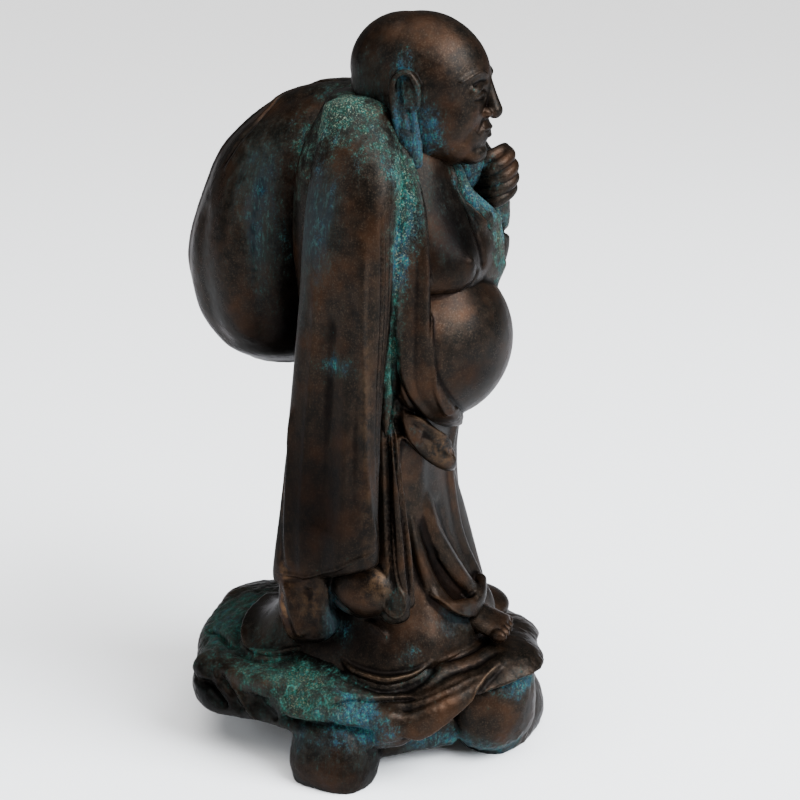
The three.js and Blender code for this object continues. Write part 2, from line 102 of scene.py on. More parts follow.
robe_folds = [
    # angle, z, angle, z, width in degrees, height
    (-38, 0, -30, 40, 8, 0.4),
    (30, 0, 24, 40, 6, 0.9),
    (62, 0, 52, 44, 8, 1),
    (84, -2, 76, 40, 7, -0.9),
    (108, -2, 104, 44, 8, 1),
    (140, -2, 150, 46, 9, 1.1),
    (168, -2, 170, 44, 7, -0.9),
    (192, -2, 186, 46, 9, 1.1),
    (222, -2, 214, 44, 9, 1),
]


def between(rows, place):
    """Values at fractional places of a list of rows, on the Catmull-Rom curve
    b + t/2 (c - a + t (2a - 5b + 4c - d + t (3 (b - c) + d - a))) of the four rows round each place."""
    rows = np.asarray(rows, float)
    i = np.clip(np.floor(place).astype(int), 0, len(rows) - 2)
    t = (place - i)[:, None]
    a, b, c, d = (rows[np.clip(i + k, 0, len(rows) - 1)] for k in (-1, 0, 1, 2))
    return b + t / 2 * (c - a + t * (2 * a - 5 * b + 4 * c - d + t * (3 * (b - c) + d - a)))


def smooth(x):
    """The smooth step 3 x^2 - 2 x^3 from 0 to 1, with x cut to that range."""
    x = np.clip(x, 0, 1)
    return x * x * (3 - 2 * x)


def unit(vectors):
    """The vectors at length 1."""
    return vectors / (np.linalg.norm(vectors, axis=1, keepdims=True) + 1e-12)


def rings_of(along, ends):
    """For each ring of a closed form: t from 0 to 1 along its body, its share of the full section, which
    falls as cos at both ends, and how far it is into an end, from -1 to 1."""
    k = np.arange(along + 2 * ends + 1)
    low = np.clip((ends - k) / ends, 0, 1) * math.pi / 2
    high = np.clip((k - along - ends) / ends, 0, 1) * math.pi / 2
    return np.clip((k - ends) / along, 0, 1), np.cos(low) * np.cos(high), np.sin(high) - np.sin(low)


# how far a fold runs on beyond its line, and over how much it fades out, as shares of the line
FOLD_BEYOND, FOLD_FADE = 0.1, 0.22


def folds_at(folds, angle, z):
    """Sum over the folds of height * exp(-(angle off its line / width)^2), faded out at its line's ends."""
    total = np.zeros(np.broadcast(angle, z).shape)
    for a0, z0, a1, z1, width, height in folds:
        t = (z - z0) / (z1 - z0)
        off = angle - (a0 + (a1 - a0) * t)
        off = off - 360 * np.round(off / 360)
        fade = smooth((t + FOLD_BEYOND) / FOLD_FADE) * smooth((1 + FOLD_BEYOND - t) / FOLD_FADE)
        total += height * fade * np.exp(-((off / width) ** 2))
    return total


def loft(rows, around=220, along=150, ends=14, cap_low=1.0, cap_high=1.0, folds=()):
    """A grid of points from level outlines: at angle a the radius is (|sin a / rx|^n + |cos a / ry|^n)^(-1/n)
    plus the folds, and the rows are joined by Catmull-Rom curves. The front is at angle 0."""
    t, size, end = rings_of(along, ends)
    z, x, y, right, left, front, back, n = between(rows, t * (len(rows) - 1)).T[:, :, None]
    angle = np.linspace(0, 360, around, endpoint=False)[None, :]
    s, c = np.sin(np.radians(angle)), -np.cos(np.radians(angle))
    across = np.where(s > 0, left, right)
    deep = np.where(c < 0, front, back)
    reach = (np.abs(s / across) ** n + np.abs(c / deep) ** n) ** (-1 / n)
    r = (reach + folds_at(folds, angle, z)) * size[:, None]
    height = z + (np.where(end < 0, cap_low, cap_high) * end)[:, None]
    return np.stack([x + r * s, y + r * c, height + 0 * r], -1)


def limb(rows, side=(1, 0, 0), around=36, along=60, ends=8, square=2.0):
    """A grid of points round a curve through points: the section is a superellipse of half width w along
    side and half thickness d, closed at both ends as a quarter circle closes. A row is (x, y, z, w, d), and
    side is one direction, or one for each row."""
    t, size, end = rings_of(along, ends)
    here, ahead, behind = (
        between(rows, np.clip(t + step, 0, 1) * (len(rows) - 1)) for step in (0, 0.01, -0.01)
    )
    tangent = unit(ahead[:, :3] - behind[:, :3])
    if np.ndim(side) == 2:
        side = between(side, t * (len(side) - 1))
    outward = unit(np.cross(tangent, side))
    sideways = np.cross(outward, tangent)
    w, d = here[:, 3], here[:, 4]
    centre = here[:, :3] + tangent * (np.minimum(w, d) * end)[:, None]
    angle = np.linspace(0, 2 * math.pi, around, endpoint=False)
    c, s = (np.sign(f) * np.abs(f) ** (2 / square) for f in (np.cos(angle), np.sin(angle)))
    return (centre[:, None, :] + (w * size)[:, None, None] * c[None, :, None] * sideways[:, None, :]
            + (d * size)[:, None, None] * s[None, :, None] * outward[:, None, :])


def turned(points, degrees):
    """The points turned about X, then Y, then Z, as three.js's Euler order XYZ does it."""
    a, b, c = np.radians(degrees)
    rx = np.array([[1, 0, 0], [0, math.cos(a), -math.sin(a)], [0, math.sin(a), math.cos(a)]])
    ry = np.array([[math.cos(b), 0, math.sin(b)], [0, 1, 0], [-math.sin(b), 0, math.cos(b)]])
    rz = np.array([[math.cos(c), -math.sin(c), 0], [math.sin(c), math.cos(c), 0], [0, 0, 1]])
    return points @ (rx @ ry @ rz).T


def blob(centre, radii, turn=(0, 0, 0), around=72, along=48, flat=1.0):
    """A grid of points on an ellipsoid: centre + turn (rx sin b cos a, ry sin b sin a, rz cos b). The sine
    and cosine of b are raised to the power flat, which makes a plate with a round edge of an ellipsoid."""
    a = np.linspace(0, 2 * math.pi, around, endpoint=False)[None, :]
    b = np.linspace(0, math.pi, along + 1)[:, None]
    out, up = np.sin(b).clip(0) ** flat, np.sign(np.cos(b)) * np.abs(np.cos(b)) ** flat
    ball = np.stack([out * np.cos(a), out * np.sin(a), up + 0 * a], -1)
    return turned(ball * np.array(radii, float), turn) + np.array(centre, float)


def figure_to_frame(points):
    """Shares of the figure's height over the plinth, turned to metres in the frame."""
    return points * SHARE + np.array([0, 0, PLINTH_TOP]) + AXIS


def mesh_arrays(mesh):
    """The mesh's vertices, their normals and its edges as arrays."""
    points, normals = np.empty(len(mesh.vertices) * 3), np.empty(len(mesh.vertices) * 3)
    edges = np.empty(len(mesh.edges) * 2, dtype=np.int64)
    mesh.vertices.foreach_get("co", points)
    mesh.vertex_normals.foreach_get("vector", normals)
    mesh.edges.foreach_get("vertices", edges)
    return points.reshape(-1, 3), normals.reshape(-1, 3), edges.reshape(-1, 2)


def set_points(mesh, points):
    """The mesh's vertices moved to the points."""
    mesh.vertices.foreach_set("co", points.ravel())
    mesh.update()


def apply_modifier(piece, kind, **settings):
    """The piece's mesh replaced by what one modifier makes of it."""
    modifier = piece.modifiers.new(kind, kind)
    for key, value in settings.items():
        setattr(modifier, key, value)
    before = piece.data
    made = bpy.data.meshes.new_from_object(piece.evaluated_get(bpy.context.evaluated_depsgraph_get()))
    piece.modifiers.clear()
    piece.data = made
    bpy.data.meshes.remove(before)
    made.name = piece.name


def relaxed(values, edges, times):
    """Each vertex's values moved halfway to the mean of its neighbours', so many times over."""
    values = values.copy()
    count = len(values)
    degree = np.maximum(np.bincount(edges.ravel(), minlength=count), 1)
    for _ in range(times):
        for column in values.T:
            total = np.bincount(edges[:, 0], weights=column[edges[:, 1]], minlength=count)
            total += np.bincount(edges[:, 1], weights=column[edges[:, 0]], minlength=count)
            column[:] = (column + total / degree) / 2
    return values


def cast_in_one(name, forms, voxel, soften):
    """One closed mesh round all the forms: their grids of points are closed into tubes with poles, joined,
    remeshed in voxels of the given size, and relaxed so that the forms run into each other."""
    points, faces, first = [], [], 0
    for grid in forms:
        rings, around = grid.shape[:2]
        index = np.arange(rings * around).reshape(rings, around) + first
        ahead = np.roll(index, -1, axis=1)
        faces.append(np.stack([index[:-1], ahead[:-1], ahead[1:], index[1:]], -1).reshape(-1, 4))
        points.append(figure_to_frame(grid).reshape(-1, 3))
        first += rings * around
    mesh = bpy.data.meshes.new(name)
    mesh.from_pydata(np.concatenate(points), [], np.concatenate(faces))
    piece = bpy.data.objects.new(name, mesh)
    bpy.context.scene.collection.objects.link(piece)
    apply_modifier(piece, "REMESH", mode="VOXEL", voxel_size=voxel)
    points, _, edges = mesh_arrays(piece.data)
    set_points(piece.data, relaxed(points, edges, soften))
    return piece


LATTICE = 32


def lattice_noise(points, size, seed):
    """Smooth noise from -1 to 1: random values on a lattice of the given spacing, blended between the eight
    corners round each point with f^2 (3 - 2f)."""
    table = np.random.default_rng(seed).uniform(-1, 1, (LATTICE, LATTICE, LATTICE))
    cell = np.floor(points / size).astype(int)
    f = smooth(points / size - cell)
    total = np.zeros(len(points))
    for corner in np.ndindex(2, 2, 2):
        share = np.abs(1 - np.array(corner) - f)
        x, y, z = ((cell + corner) % LATTICE).T
        total += share[:, 0] * share[:, 1] * share[:, 2] * table[x, y, z]
    return total


# the spacing of the points on a stroke, the width over which a lip turns from low to high, how many of its
# widths a stroke reaches, and how many distances are taken at a time
STROKE_STEP = 0.6 * MM
LIP_EDGE = 0.25 * SHARE
WIDTHS = 2.5
DISTANCES = 4000000


def carve(piece, strokes):
    """Each stroke has a width w, a rise and a curve through points near the surface. With d the distance from
    the curve and s the signed part of d across it, the surface moves along its normals by
    rise * exp(-(d/w)^2) + lip * tanh(s / edge) * exp(-(d / reach)^2), faded out at both ends."""
    mesh = piece.data
    points, normals, _ = mesh_arrays(mesh)
    surface = BVHTree.FromPolygons(points.tolist(), [tuple(face.vertices) for face in mesh.polygons])
    move = np.zeros(len(points))
    for width, rise, line, *more in strokes:
        more = dict(*more)
        lip, width, reach = more.get("lip", 0), width * SHARE, more.get("reach", 2) * SHARE
        knots = figure_to_frame(np.array(line, float))
        count = max(8, int(np.linalg.norm(np.diff(knots, axis=0), axis=1).sum() / STROKE_STEP))
        place = np.linspace(0, len(knots) - 1, count)
        found = [surface.find_nearest(Vector(point)) for point in between(knots, place)]
        curve, facing = np.array([hit[0] for hit in found]), np.array([hit[1] for hit in found])
        for values in (curve, facing):
            for _ in range(6):
                values[1:-1] = (values[:-2] + 2 * values[1:-1] + values[2:]) / 4
        across = unit(np.cross(facing, np.gradient(curve, axis=0)))
        along = np.linspace(0, 1, count)
        fade = smooth(np.minimum(along, 1 - along) / more.get("fade", 0.15))
        if more.get("swelling"):  # it has no ends to fade out, since the distance from it does that
            fade[:] = 1
        far = WIDTHS * max(width, reach if lip else 0)
        near = np.all((points > curve.min(0) - far) & (points < curve.max(0) + far), axis=1).nonzero()[0]
        for part in np.array_split(near, max(1, len(near) * count // DISTANCES)):
            gap = points[part][:, None, :] - curve[None, :, :]
            d = np.linalg.norm(gap, axis=2)
            k = np.argmin(d, axis=1)
            d = d[np.arange(len(part)), k]
            s = np.einsum("ij,ij->i", gap[np.arange(len(part)), k], across[k])
            moved = rise * np.exp(-((d / width) ** 2))
            moved += lip * np.tanh(s / LIP_EDGE) * np.exp(-((d / reach) ** 2))
            same_side = np.clip(np.einsum("ij,ij->i", normals[part], facing[k]) * 2, 0, 1)
            move[part] += moved * SHARE * fade[k] * same_side
    set_points(mesh, points + normals * move[:, None])


def to_linear(colour):
    """An sRGB hex colour as linear red, green, blue and alpha: c / 12.92, or ((c + 0.055) / 1.055)^2.4."""
    channels = [int(colour[i:i + 2], 16) / 255 for i in (1, 3, 5)]
    return [c / 12.92 if c <= 0.04045 else ((c + 0.055) / 1.055) ** 2.4 for c in channels] + [1.0]


# kinds of zone: verdigris, pale grains, blue, film, painted shade and painted highlights
PATINA_AND_PAINTED_LIGHT = ("verdigris", "pale", "blue", "film", "painted_shade", "painted_highlight")


def zone_sum(points, zones, kind):
    """The sum over the zones of their strength for this kind of patina or painted light * exp(-distance^2 in
    radii). A zone is its centre, its radii and its strengths in the order of the kinds above."""
    total = np.zeros(len(points))
    for zone in zones:
        place = (points - figure_to_frame(np.array(zone[:3], float))) / (np.array(zone[3:6], float) * SHARE)
        total += dict(zip(PATINA_AND_PAINTED_LIGHT, zone[6:])).get(kind, 0) * np.exp(-(place**2).sum(1))
    return total


def surface_marks(piece, zones):
    """Vertex attributes for the patina and the painted light: how far a vertex stands over its surroundings
    within about 1 mm and 4 mm, which lightens edges as wear and painted highlights and darkens hollows as
    dark patina and painted shade, and the sum over the zones for each kind of patina or painted light."""
    points, normals, edges = mesh_arrays(piece.data)
    near, far = (
        np.einsum("ij,ij->i", points - relaxed(points, edges, times), normals) / MM for times in (6, 60)
    )
    marks = {kind: zone_sum(points, zones, kind) for kind in PATINA_AND_PAINTED_LIGHT}
    # how far a vertex stands out: raised edges, which the material lightens as wear and as painted highlights
    marks["rubbed_and_highlight"] = 0.5 * (np.clip(near * 6, -1, 1.5) + np.clip(far, -1, 1))
    # how far a vertex lies sunk: hollows, which the material darkens as dark patina and as painted shade
    marks["hollow"] = np.clip(-far * 2.5, 0, 1)
    for name, values in marks.items():
        attribute = piece.data.attributes.new(name, "FLOAT", "POINT")
        attribute.data.foreach_set("value", values.astype(np.float32))


def finish_casting(piece, triangles, strokes=(), zones=(), grain=0.05, rough=1.0):
    """Carved strokes, the unevenness of a hand-worked wax and of the crust on it, the marks for the patina
    and for the painted shade and highlights, and then fewer triangles."""
    if strokes:
        carve(piece, strokes)
    mesh = piece.data
    points, normals, _ = mesh_arrays(mesh)
    crusted = np.minimum(1, zone_sum(points, zones, "verdigris"))
    # in mm: the wax's broad and fine unevenness, the skin's grain, and the lumps of the crust
    uneven = rough * (0.16 * lattice_noise(points, 9 * MM, 1) + 0.07 * lattice_noise(points, 3.2 * MM, 2))
    uneven += (grain + 0.12 * crusted) * lattice_noise(points, 1.3 * MM, 3)
    uneven += 0.1 * (1 + rough) * crusted * lattice_noise(points, 2.6 * MM, 4)
    set_points(mesh, points + normals * (uneven * MM)[:, None])
    surface_marks(piece, zones)
    apply_modifier(piece, "DECIMATE", ratio=min(1.0, triangles / (len(mesh.loops) - 2 * len(mesh.polygons))))
    piece.data.polygons.foreach_set("use_smooth", np.ones(len(piece.data.polygons), dtype=bool))
    piece.data.materials.append(aged_bronze)


# cast bronze with a brown patina: satin, nearly black in the hollows from dark patina and painted shade,
# golden on raised edges from wear and painted highlights, darker and lighter in zones of painted shade and
# painted highlights, and under dull blue-green verdigris with pale grains where damp stood on it
aged_bronze = bpy.data.materials.new("aged_bronze")
aged_bronze.use_nodes = True
tree = aged_bronze.node_tree
tree.nodes.clear()


def node(kind, settings=(), **inputs):
    """A shader node of the given kind. Settings are its own properties, and inputs are values or hex colours
    for its sockets by name or number, or links from the sockets of other nodes."""
    made = tree.nodes.new(kind)
    for key, value in dict(settings).items():
        setattr(made, key, value)
    for key, value in inputs.items():
        socket = made.inputs[int(key[1:]) if key[1:].isdigit() else key.replace("_", " ")]
        if isinstance(value, bpy.types.NodeSocket):
            tree.links.new(value, socket)
        else:
            socket.default_value = to_linear(value) if isinstance(value, str) else value
    return made


place = node("ShaderNodeTexCoord").outputs["Object"]
marks = {
    name: node("ShaderNodeAttribute", {"attribute_name": name}).outputs["Fac"]
    for name in ("rubbed_and_highlight", "hollow", *PATINA_AND_PAINTED_LIGHT)
}


def cloud(scale, detail, roughness=0.55, at=place):
    """Noise on Object coordinates, at so many features a metre."""
    made = node("ShaderNodeTexNoise", Vector=at, Scale=scale, Detail=detail, Roughness=roughness)
    return made.outputs["Fac"]


def ramp(value, low, high, to_low=0.0, to_high=1.0):
    """The value moved from one range to another on a smooth step."""
    made = node("ShaderNodeMapRange", {"interpolation_type": "SMOOTHSTEP"}, Value=value, From_Min=low,
                From_Max=high, To_Min=to_low, To_Max=to_high)
    return made.outputs["Result"]


def maths(operation, a, b):
    """One step of arithmetic."""
    return node("ShaderNodeMath", {"operation": operation}, i0=a, i1=b).outputs[0]


def plus(a, b, gain):
    """a + gain * b."""
    return maths("ADD", a, maths("MULTIPLY", b, gain))


def centred(noise):
    """The noise about 0."""
    return maths("SUBTRACT", noise, 0.5)


def blended(share, first, second):
    """The second colour over the first by the share."""
    return node("ShaderNodeMix", {"data_type": "RGBA"}, i0=share, i6=first, i7=second).outputs[2]


patches = cloud(70, 4)
mottles = cloud(260, 5, 0.65)
grains = cloud(1400, 3, 0.75)
specks = cloud(1700, 2, 0.8)
# what runs down is drawn out in height
drawn = node("ShaderNodeVectorMath", {"operation": "MULTIPLY"}, i0=place, i1=(1, 1, 0.28)).outputs[0]
runs = cloud(190, 5, 0.6, drawn)
drips = cloud(1100, 3, 0.7, drawn)

# the bronze itself
brown = blended(ramp(mottles, 0.35, 0.68), "#0c0a07", "#1b140e")
brown = blended(ramp(patches, 0.42, 0.75, 0, 0.65), brown, "#2f1c0e")
brown = blended(ramp(specks, 0.52, 0.68, 0, 0.32), brown, "#3f342a")
# raised edges and the highlight zones turn golden: wear on the edges, and painted highlights where edges and
# strips catch the light
rub_and_highlight_share = maths("MULTIPLY", ramp(marks["rubbed_and_highlight"], 0.8, 2.4, 0, 0.55), ramp(mottles, 0.3, 0.65, 0.2, 1))
painted_highlight_share = maths("MULTIPLY", marks["painted_highlight"], ramp(mottles, 0.4, 0.66))
brown = blended(maths("MAXIMUM", rub_and_highlight_share, painted_highlight_share), brown, "#6a4e33")
# hollows turn nearly black from dark patina and painted shade, and the shade zones from painted shade alone
hollow_and_shade_share = maths("MAXIMUM", ramp(marks["hollow"], 0.05, 0.7, 0, 0.8), marks["painted_shade"])
brown = blended(hollow_and_shade_share, brown, "#050404")

# the film and the crust on it
uneven = plus(plus(centred(runs), centred(mottles), 1.3), centred(grains), 1.2)
film_share = plus(maths("MAXIMUM", marks["verdigris"], marks["film"]), uneven, 0.9)
film_share = ramp(film_share, 0.15, 1.25, 0, 0.75)
verdigris_share = ramp(plus(marks["verdigris"], uneven, 1.5), 0.55, 1.25, 0, 0.9)
blue_share = ramp(plus(marks["blue"], centred(runs), 2.4), 0.25, 0.85)
film = blended(blue_share, "#131a17", "#101a1e")
film = blended(ramp(drips, 0.5, 0.68, 0, 0.5), film, "#24413f")
crust = blended(blue_share, "#0c271f", "#102a36")
crust = blended(ramp(drips, 0.46, 0.66, 0, 0.7), crust, "#1d524b")
crust = blended(ramp(mottles, 0.56, 0.4, 0, 0.7), crust, "#131410")
crust = blended(ramp(grains, 0.47, 0.36, 0, 0.8), crust, "#060606")
pale_share = maths("MULTIPLY", marks["pale"], ramp(specks, 0.54, 0.68, 0, 0.6))
crust = blended(pale_share, crust, "#6d7562")
crust = blended(maths("MULTIPLY", pale_share, ramp(patches, 0.5, 0.6, 0, 0.8)), crust, "#6b5a36")

dull_share = maths("MAXIMUM", verdigris_share, film_share)
bump_height = plus(maths("MULTIPLY", grains, ramp(verdigris_share, 0, 1, 0.15, 1)), mottles, 0.4)
surface = node(
    "ShaderNodeBsdfPrincipled",
    Normal=node("ShaderNodeBump", Height=bump_height, Distance=0.0003, Strength=0.6).outputs["Normal"],
    Base_Color=blended(verdigris_share, blended(film_share, brown, film), crust),
    Specular_Tint=(0.34, 0.33, 0.35, 1),
    Specular_IOR_Level=ramp(hollow_and_shade_share, 0, 1, 0.32, 0.08),
    Metallic=ramp(dull_share, 0, 1, 0.7, 0.05),
    Roughness=plus(ramp(dull_share, 0, 1, 0.28, 0.75), mottles, 0.25),
)
node("ShaderNodeOutputMaterial", Surface=surface.outputs["BSDF"])


robe_body = loft(robe_rows, around=260, along=200, cap_low=0.5, cap_high=1.2, folds=robe_folds)

chest_rows = [
    (55.4, 0, -8, 9, 9, 5, 6, 2), (58, 0, -8, 11, 11, 9.6, 6, 2.4), (60, 0, -8, 12, 12, 11.2, 6, 2.6),
    (62.8, 0, -8, 12, 12, 11.6, 6, 2.6), (66, 0, -8, 11.8, 11.8, 10.8, 6, 2.5),
    (71, 0, -8, 10.8, 10.8, 8.8, 6, 2.3), (76, 0, -8, 8.6, 8.6, 6.4, 5, 2.1),
    (82, 0, -8, 5.6, 5.6, 4.8, 5, 2),
]
belly = blob((0, -11, 49.5), (14.2, 12.4, 12.9), around=120, along=80)
trunk = [loft(chest_rows, around=120, along=80), belly]

right_border = [
    (-2, 1.5, 86, 2.4, 1), (-7.5, -2.5, 84.5, 2.8, 1), (-11, -9.4, 78.5, 3.1, 1.1),
    (-12.2, -12.4, 72, 3, 1.1), (-12.7, -13.6, 64, 2.8, 1.2), (-13.2, -14.2, 52, 2.6, 1.2),
    (-12.4, -15, 46.2, 2.6, 1.2), (-8.8, -16.4, 41, 2.4, 1.2), (-3, -15.8, 37.6, 1.8, 1.1),
    (2, -14, 36, 1, 0.9),
]
# the left one crosses the middle of the chest and turns back in a point
left_border = [
    (-1, 1.5, 86, 2, 1.2), (4, -5, 83, 2.2, 1.2), (2.4, -11.8, 78, 2.2, 1), (2, -15, 72.6, 2.4, 1),
    (4.2, -17.4, 68.8, 3, 1), (6, -18, 65.4, 3.8, 1), (5, -18.4, 62.4, 4.4, 1), (6, -18.2, 58.6, 4, 1),
    (12.2, -15.4, 52, 2.4, 1), (11.8, -15.8, 46, 2, 1), (7.4, -15, 41.6, 1.8, 1), (3, -13.4, 38, 1.4, 1),
]
left_border_sides = [(1, 0, 0)] * 8 + [(0.6, 0.7, 0)] * 4
# a narrow fold fills the gap between the sleeve and the right border
gap_fold = [
    (-14, -10.2, 71, 1.2, 1.2), (-14.7, -10.9, 64, 1.3, 1.3), (-14.7, -10.9, 58, 1.3, 1.3),
    (-14.3, -10.7, 50, 1.2, 1.2), (-13.7, -10, 43, 1.1, 1.1), (-12.8, -9.4, 37, 0.9, 0.9),
]
borders = [
    limb(gap_fold, around=36, along=120),
    limb(right_border, side=(0.45, -0.9, 0.1), around=64, along=220, square=5),
    limb(left_border, side=left_border_sides, around=64, along=220, square=4),
]

# the end of the sash hangs over the waist as a leaf with a sharp upper edge
sash_end = [
    (-11.6, -9.8, 41, 0.8, 0.8), (-10.2, -12, 37.8, 2, 1.1), (-7.2, -14.4, 34, 2.6, 1.4),
    (-4, -15.6, 31, 1.8, 1.3), (-1.4, -15.4, 29.2, 0.6, 0.6),
]
middle_fold = [
    (-4.4, -10.8, 28, 1.4, 0.6), (-4, -11.7, 23.8, 2, 1), (-3.4, -13, 18.6, 2.2, 1.2),
    (-2, -14.8, 14, 2.1, 1.3), (-0.2, -16.8, 9.6, 2, 1.3), (2.4, -18.2, 6.6, 1.8, 1.2),
]
right_fold = [
    (-7.4, -11.2, 22, 1, 0.6), (-7.6, -12.8, 16, 1.6, 0.9), (-7.2, -14.6, 11, 1.8, 1.1),
    (-5.8, -16.4, 7.4, 1.8, 1.2),
]
left_fold = [
    (4.5, -11, 31, 1.4, 0.6), (6, -11.4, 23, 2.8, 0.8), (8.2, -12.5, 14.5, 3.2, 0.9),
    (9.2, -14.6, 6, 2.8, 1.2),
]
skirt_lip = [
    (-7.6, -14.4, 9, 1.2, 0.8), (-5.2, -17.2, 6.2, 2.1, 1.2), (0.4, -18.8, 5.8, 2.3, 1.3),
    (5.4, -17.2, 7.4, 1.8, 1.2),
]
# the pleats beside the right border
pleat_band = [
    (-11.6, -9.6, 46, 1, 1), (-11.8, -9.9, 38, 1.3, 1.3), (-11.9, -10.2, 32, 1.4, 1.4),
    (-12.1, -10.8, 27, 1.4, 1.4), (-12.3, -11.8, 21, 1.4, 1.4), (-12.8, -12.8, 15, 1.4, 1.4),
    (-13.2, -13.6, 10, 1, 1),
]
skirt = [limb(rows) for rows in [middle_fold, right_fold, left_fold, pleat_band]]
skirt.append(limb(sash_end, side=(0.3, -0.5, 1), around=60, along=90))
skirt.append(limb(skirt_lip, side=(0, -0.4, 1)))

sleeve_rows = [
    (14.6, -18, -1.4, 2.6, 3, 9, 9, 2.8),
    (17, -18.2, -1.6, 3.2, 3, 9.1, 9.2, 2.8),
    (26, -18.3, -2.4, 3.6, 3.4, 8.3, 8.4, 2.7),
    (42, -18, -3.6, 3.8, 3.4, 7.4, 7.5, 2.6),
    (58, -17.4, -4.8, 4, 3.6, 7.4, 7.2, 2.5),
    (69, -16.6, -5.2, 4.4, 4.6, 7.3, 7, 2.4),
    (76, -15, -5.2, 4.8, 5.5, 7.2, 6.8, 2.2),
    (81, -12.8, -4.4, 5.2, 6.5, 6.6, 6, 2.1),
    (86, -9.4, -2.6, 5, 6, 5, 4.8, 2),
]
sleeve_folds = [(-42, 12, -44, 66, 10, 0.5), (-128, 12, -126, 62, 8, 0.4), (-80, 14, -86, 60, 26, -0.5)]
right_sleeve = loft(sleeve_rows, around=160, along=160, cap_low=0.3, cap_high=1.8, folds=sleeve_folds)
# the hem rises towards the front, and less so the higher on the sleeve
HEM_HEIGHT, HEM_REACH, HEM_PIVOT, HEM_SLOPE = 14, 30, -2, 0.32
how_low = np.maximum(0, 1 - (right_sleeve[..., 2] - HEM_HEIGHT) / HEM_REACH)
right_sleeve[..., 2] += how_low * (HEM_PIVOT - right_sleeve[..., 1]) * HEM_SLOPE

left_arm_rows = [
    (12, -1, 82, 5.5, 5), (16, -2, 74, 5.5, 5.5), (17.4, -5, 65, 5, 5.5), (15.6, -11, 62.4, 4.4, 4.8),
    (13.4, -14.2, 66.4, 3.6, 3.6), (12.4, -15.2, 70.8, 3, 3),
]
hanging_rows = [
    (28, 18, 0, 2.4, 2.6, 6, 8.5, 2.6), (40, 18, -1.4, 3, 3, 6.5, 8.5, 2.6),
    (52, 17, -4, 3.4, 3.6, 8.4, 9, 2.5), (59, 15.6, -6.6, 3.8, 4, 9.6, 9.6, 2.4),
    (64, 14.4, -8, 3.4, 4, 9.4, 9.6, 2.2), (68, 14, -8, 3, 4, 7.6, 8, 2),
]
# the raised arm, the cloth that hangs from it, and the shoulder
left_sleeve = [
    limb(left_arm_rows, around=60, along=90),
    loft(hanging_rows, around=120, along=90, cap_low=0.5, cap_high=1.5),
    blob((9, -8, 78), (5, 5, 6)),
]


def petal(rim, peak, steep, around=160, out=40, back=20, thickness=1.1):
    """A sheet of cloth spread on the rock, as a closed grid: from the peak each line runs straight out to the
    closed curve of the rim while it falls as (1 - share of the way)^steep, and then back at the underside."""
    rim, peak = np.array([*rim, rim[0]], float), np.array(peak, float)
    place = np.linspace(0, len(rim) - 1, around, endpoint=False)
    edge = between(rim, place)
    way = np.concatenate([np.linspace(0, 1, out), np.linspace(1, 0, back)])[:, None, None]
    grid = peak + (edge[None] - peak) * way
    height = edge[None, :, 2:]
    grid[:out, :, 2:] = height + (peak[2] - height) * (1 - way[:out]) ** steep
    grid[out:, :, 2:] = height - thickness
    return grid


front_rim = [
    (-16.2, -2.4, 0.3), (-18, -4.6, -0.6), (-18.8, -6.8, -1.2), (-18.6, -9.5, -1.7), (-18, -11.7, -2),
    (-16.4, -13.7, -1.9), (-14.2, -15.4, -1.6), (-11.7, -16.2, -0.9), (-8.4, -15, 0.3), (-5.4, -12.2, 1.4),
    (-5, -8, 2), (-7, -1, 2), (-13, 0, 1.2),
]
toe_rim = [
    (-10.8, -16, -0.7), (-7.2, -18.7, -0.5), (-4.2, -20.1, -0.4), (-0.4, -20.3, -0.3), (2.8, -18.5, 0.1),
    (4, -14, 0.6), (0, -9, 1), (-7, -9, 1), (-11, -13, 0),
]
rear_rim = [
    (-1, 20, 0.8), (-7, 19.6, 0.4), (-11.5, 18.4, -0.4), (-15.3, 16, -1.2), (-17.9, 13.4, -1.4),
    (-19.1, 10.4, -1.2), (-18.7, 7.2, -0.7), (-17, 4.5, 0.1), (-12, 2.5, 0.6), (-4, 4, 1), (2, 12, 1),
]
hem_block = [(-17.4, 1.7, 17, 4.1, 3), (-17.9, 2.2, 9, 4.2, 3.2), (-17.9, 1.2, 5.2, 4.3, 3)]
hem_fold = [
    (-12.6, -8.6, 44, 1.6, 0.6), (-12.8, -9, 34, 2, 0.8), (-13.4, -10.2, 24, 2.2, 1),
    (-14.4, -11.4, 13, 2.6, 1.5), (-14.9, -12, 8.4, 2.6, 1.6),
]
# three sheets of cloth on the rock, a crumpled edge on the front one, the block of cloth under the sleeve,
# the bulge and the fold beside it, and two low mounds at the figure's left
hem = [
    petal(front_rim, (-9, -5, 6.4), 2.2) + [0, 0, 0.5],
    petal(toe_rim, (-3, -13.4, 3.4), 1.6) + [0, 0, 0.4],
    petal(rear_rim, (-13, 7.6, 9), 2) + [0, 0, 0.3],
    blob((-5.4, -11.4, 2.4), (2.8, 2.6, 1), turn=(14, -8, 0), flat=0.6),
    limb(hem_block, side=(0, 1, 0), square=3.6),
    blob((-15, -6.2, 11.8), (3.8, 6, 4.8)),
    limb(hem_fold, side=(0, 1, 0)),
    blob((11, 10, -0.2), (10, 9, 3.4)),
    blob((12, -10, 0), (8, 9, 3.2), turn=(0, 0, 20)),
]

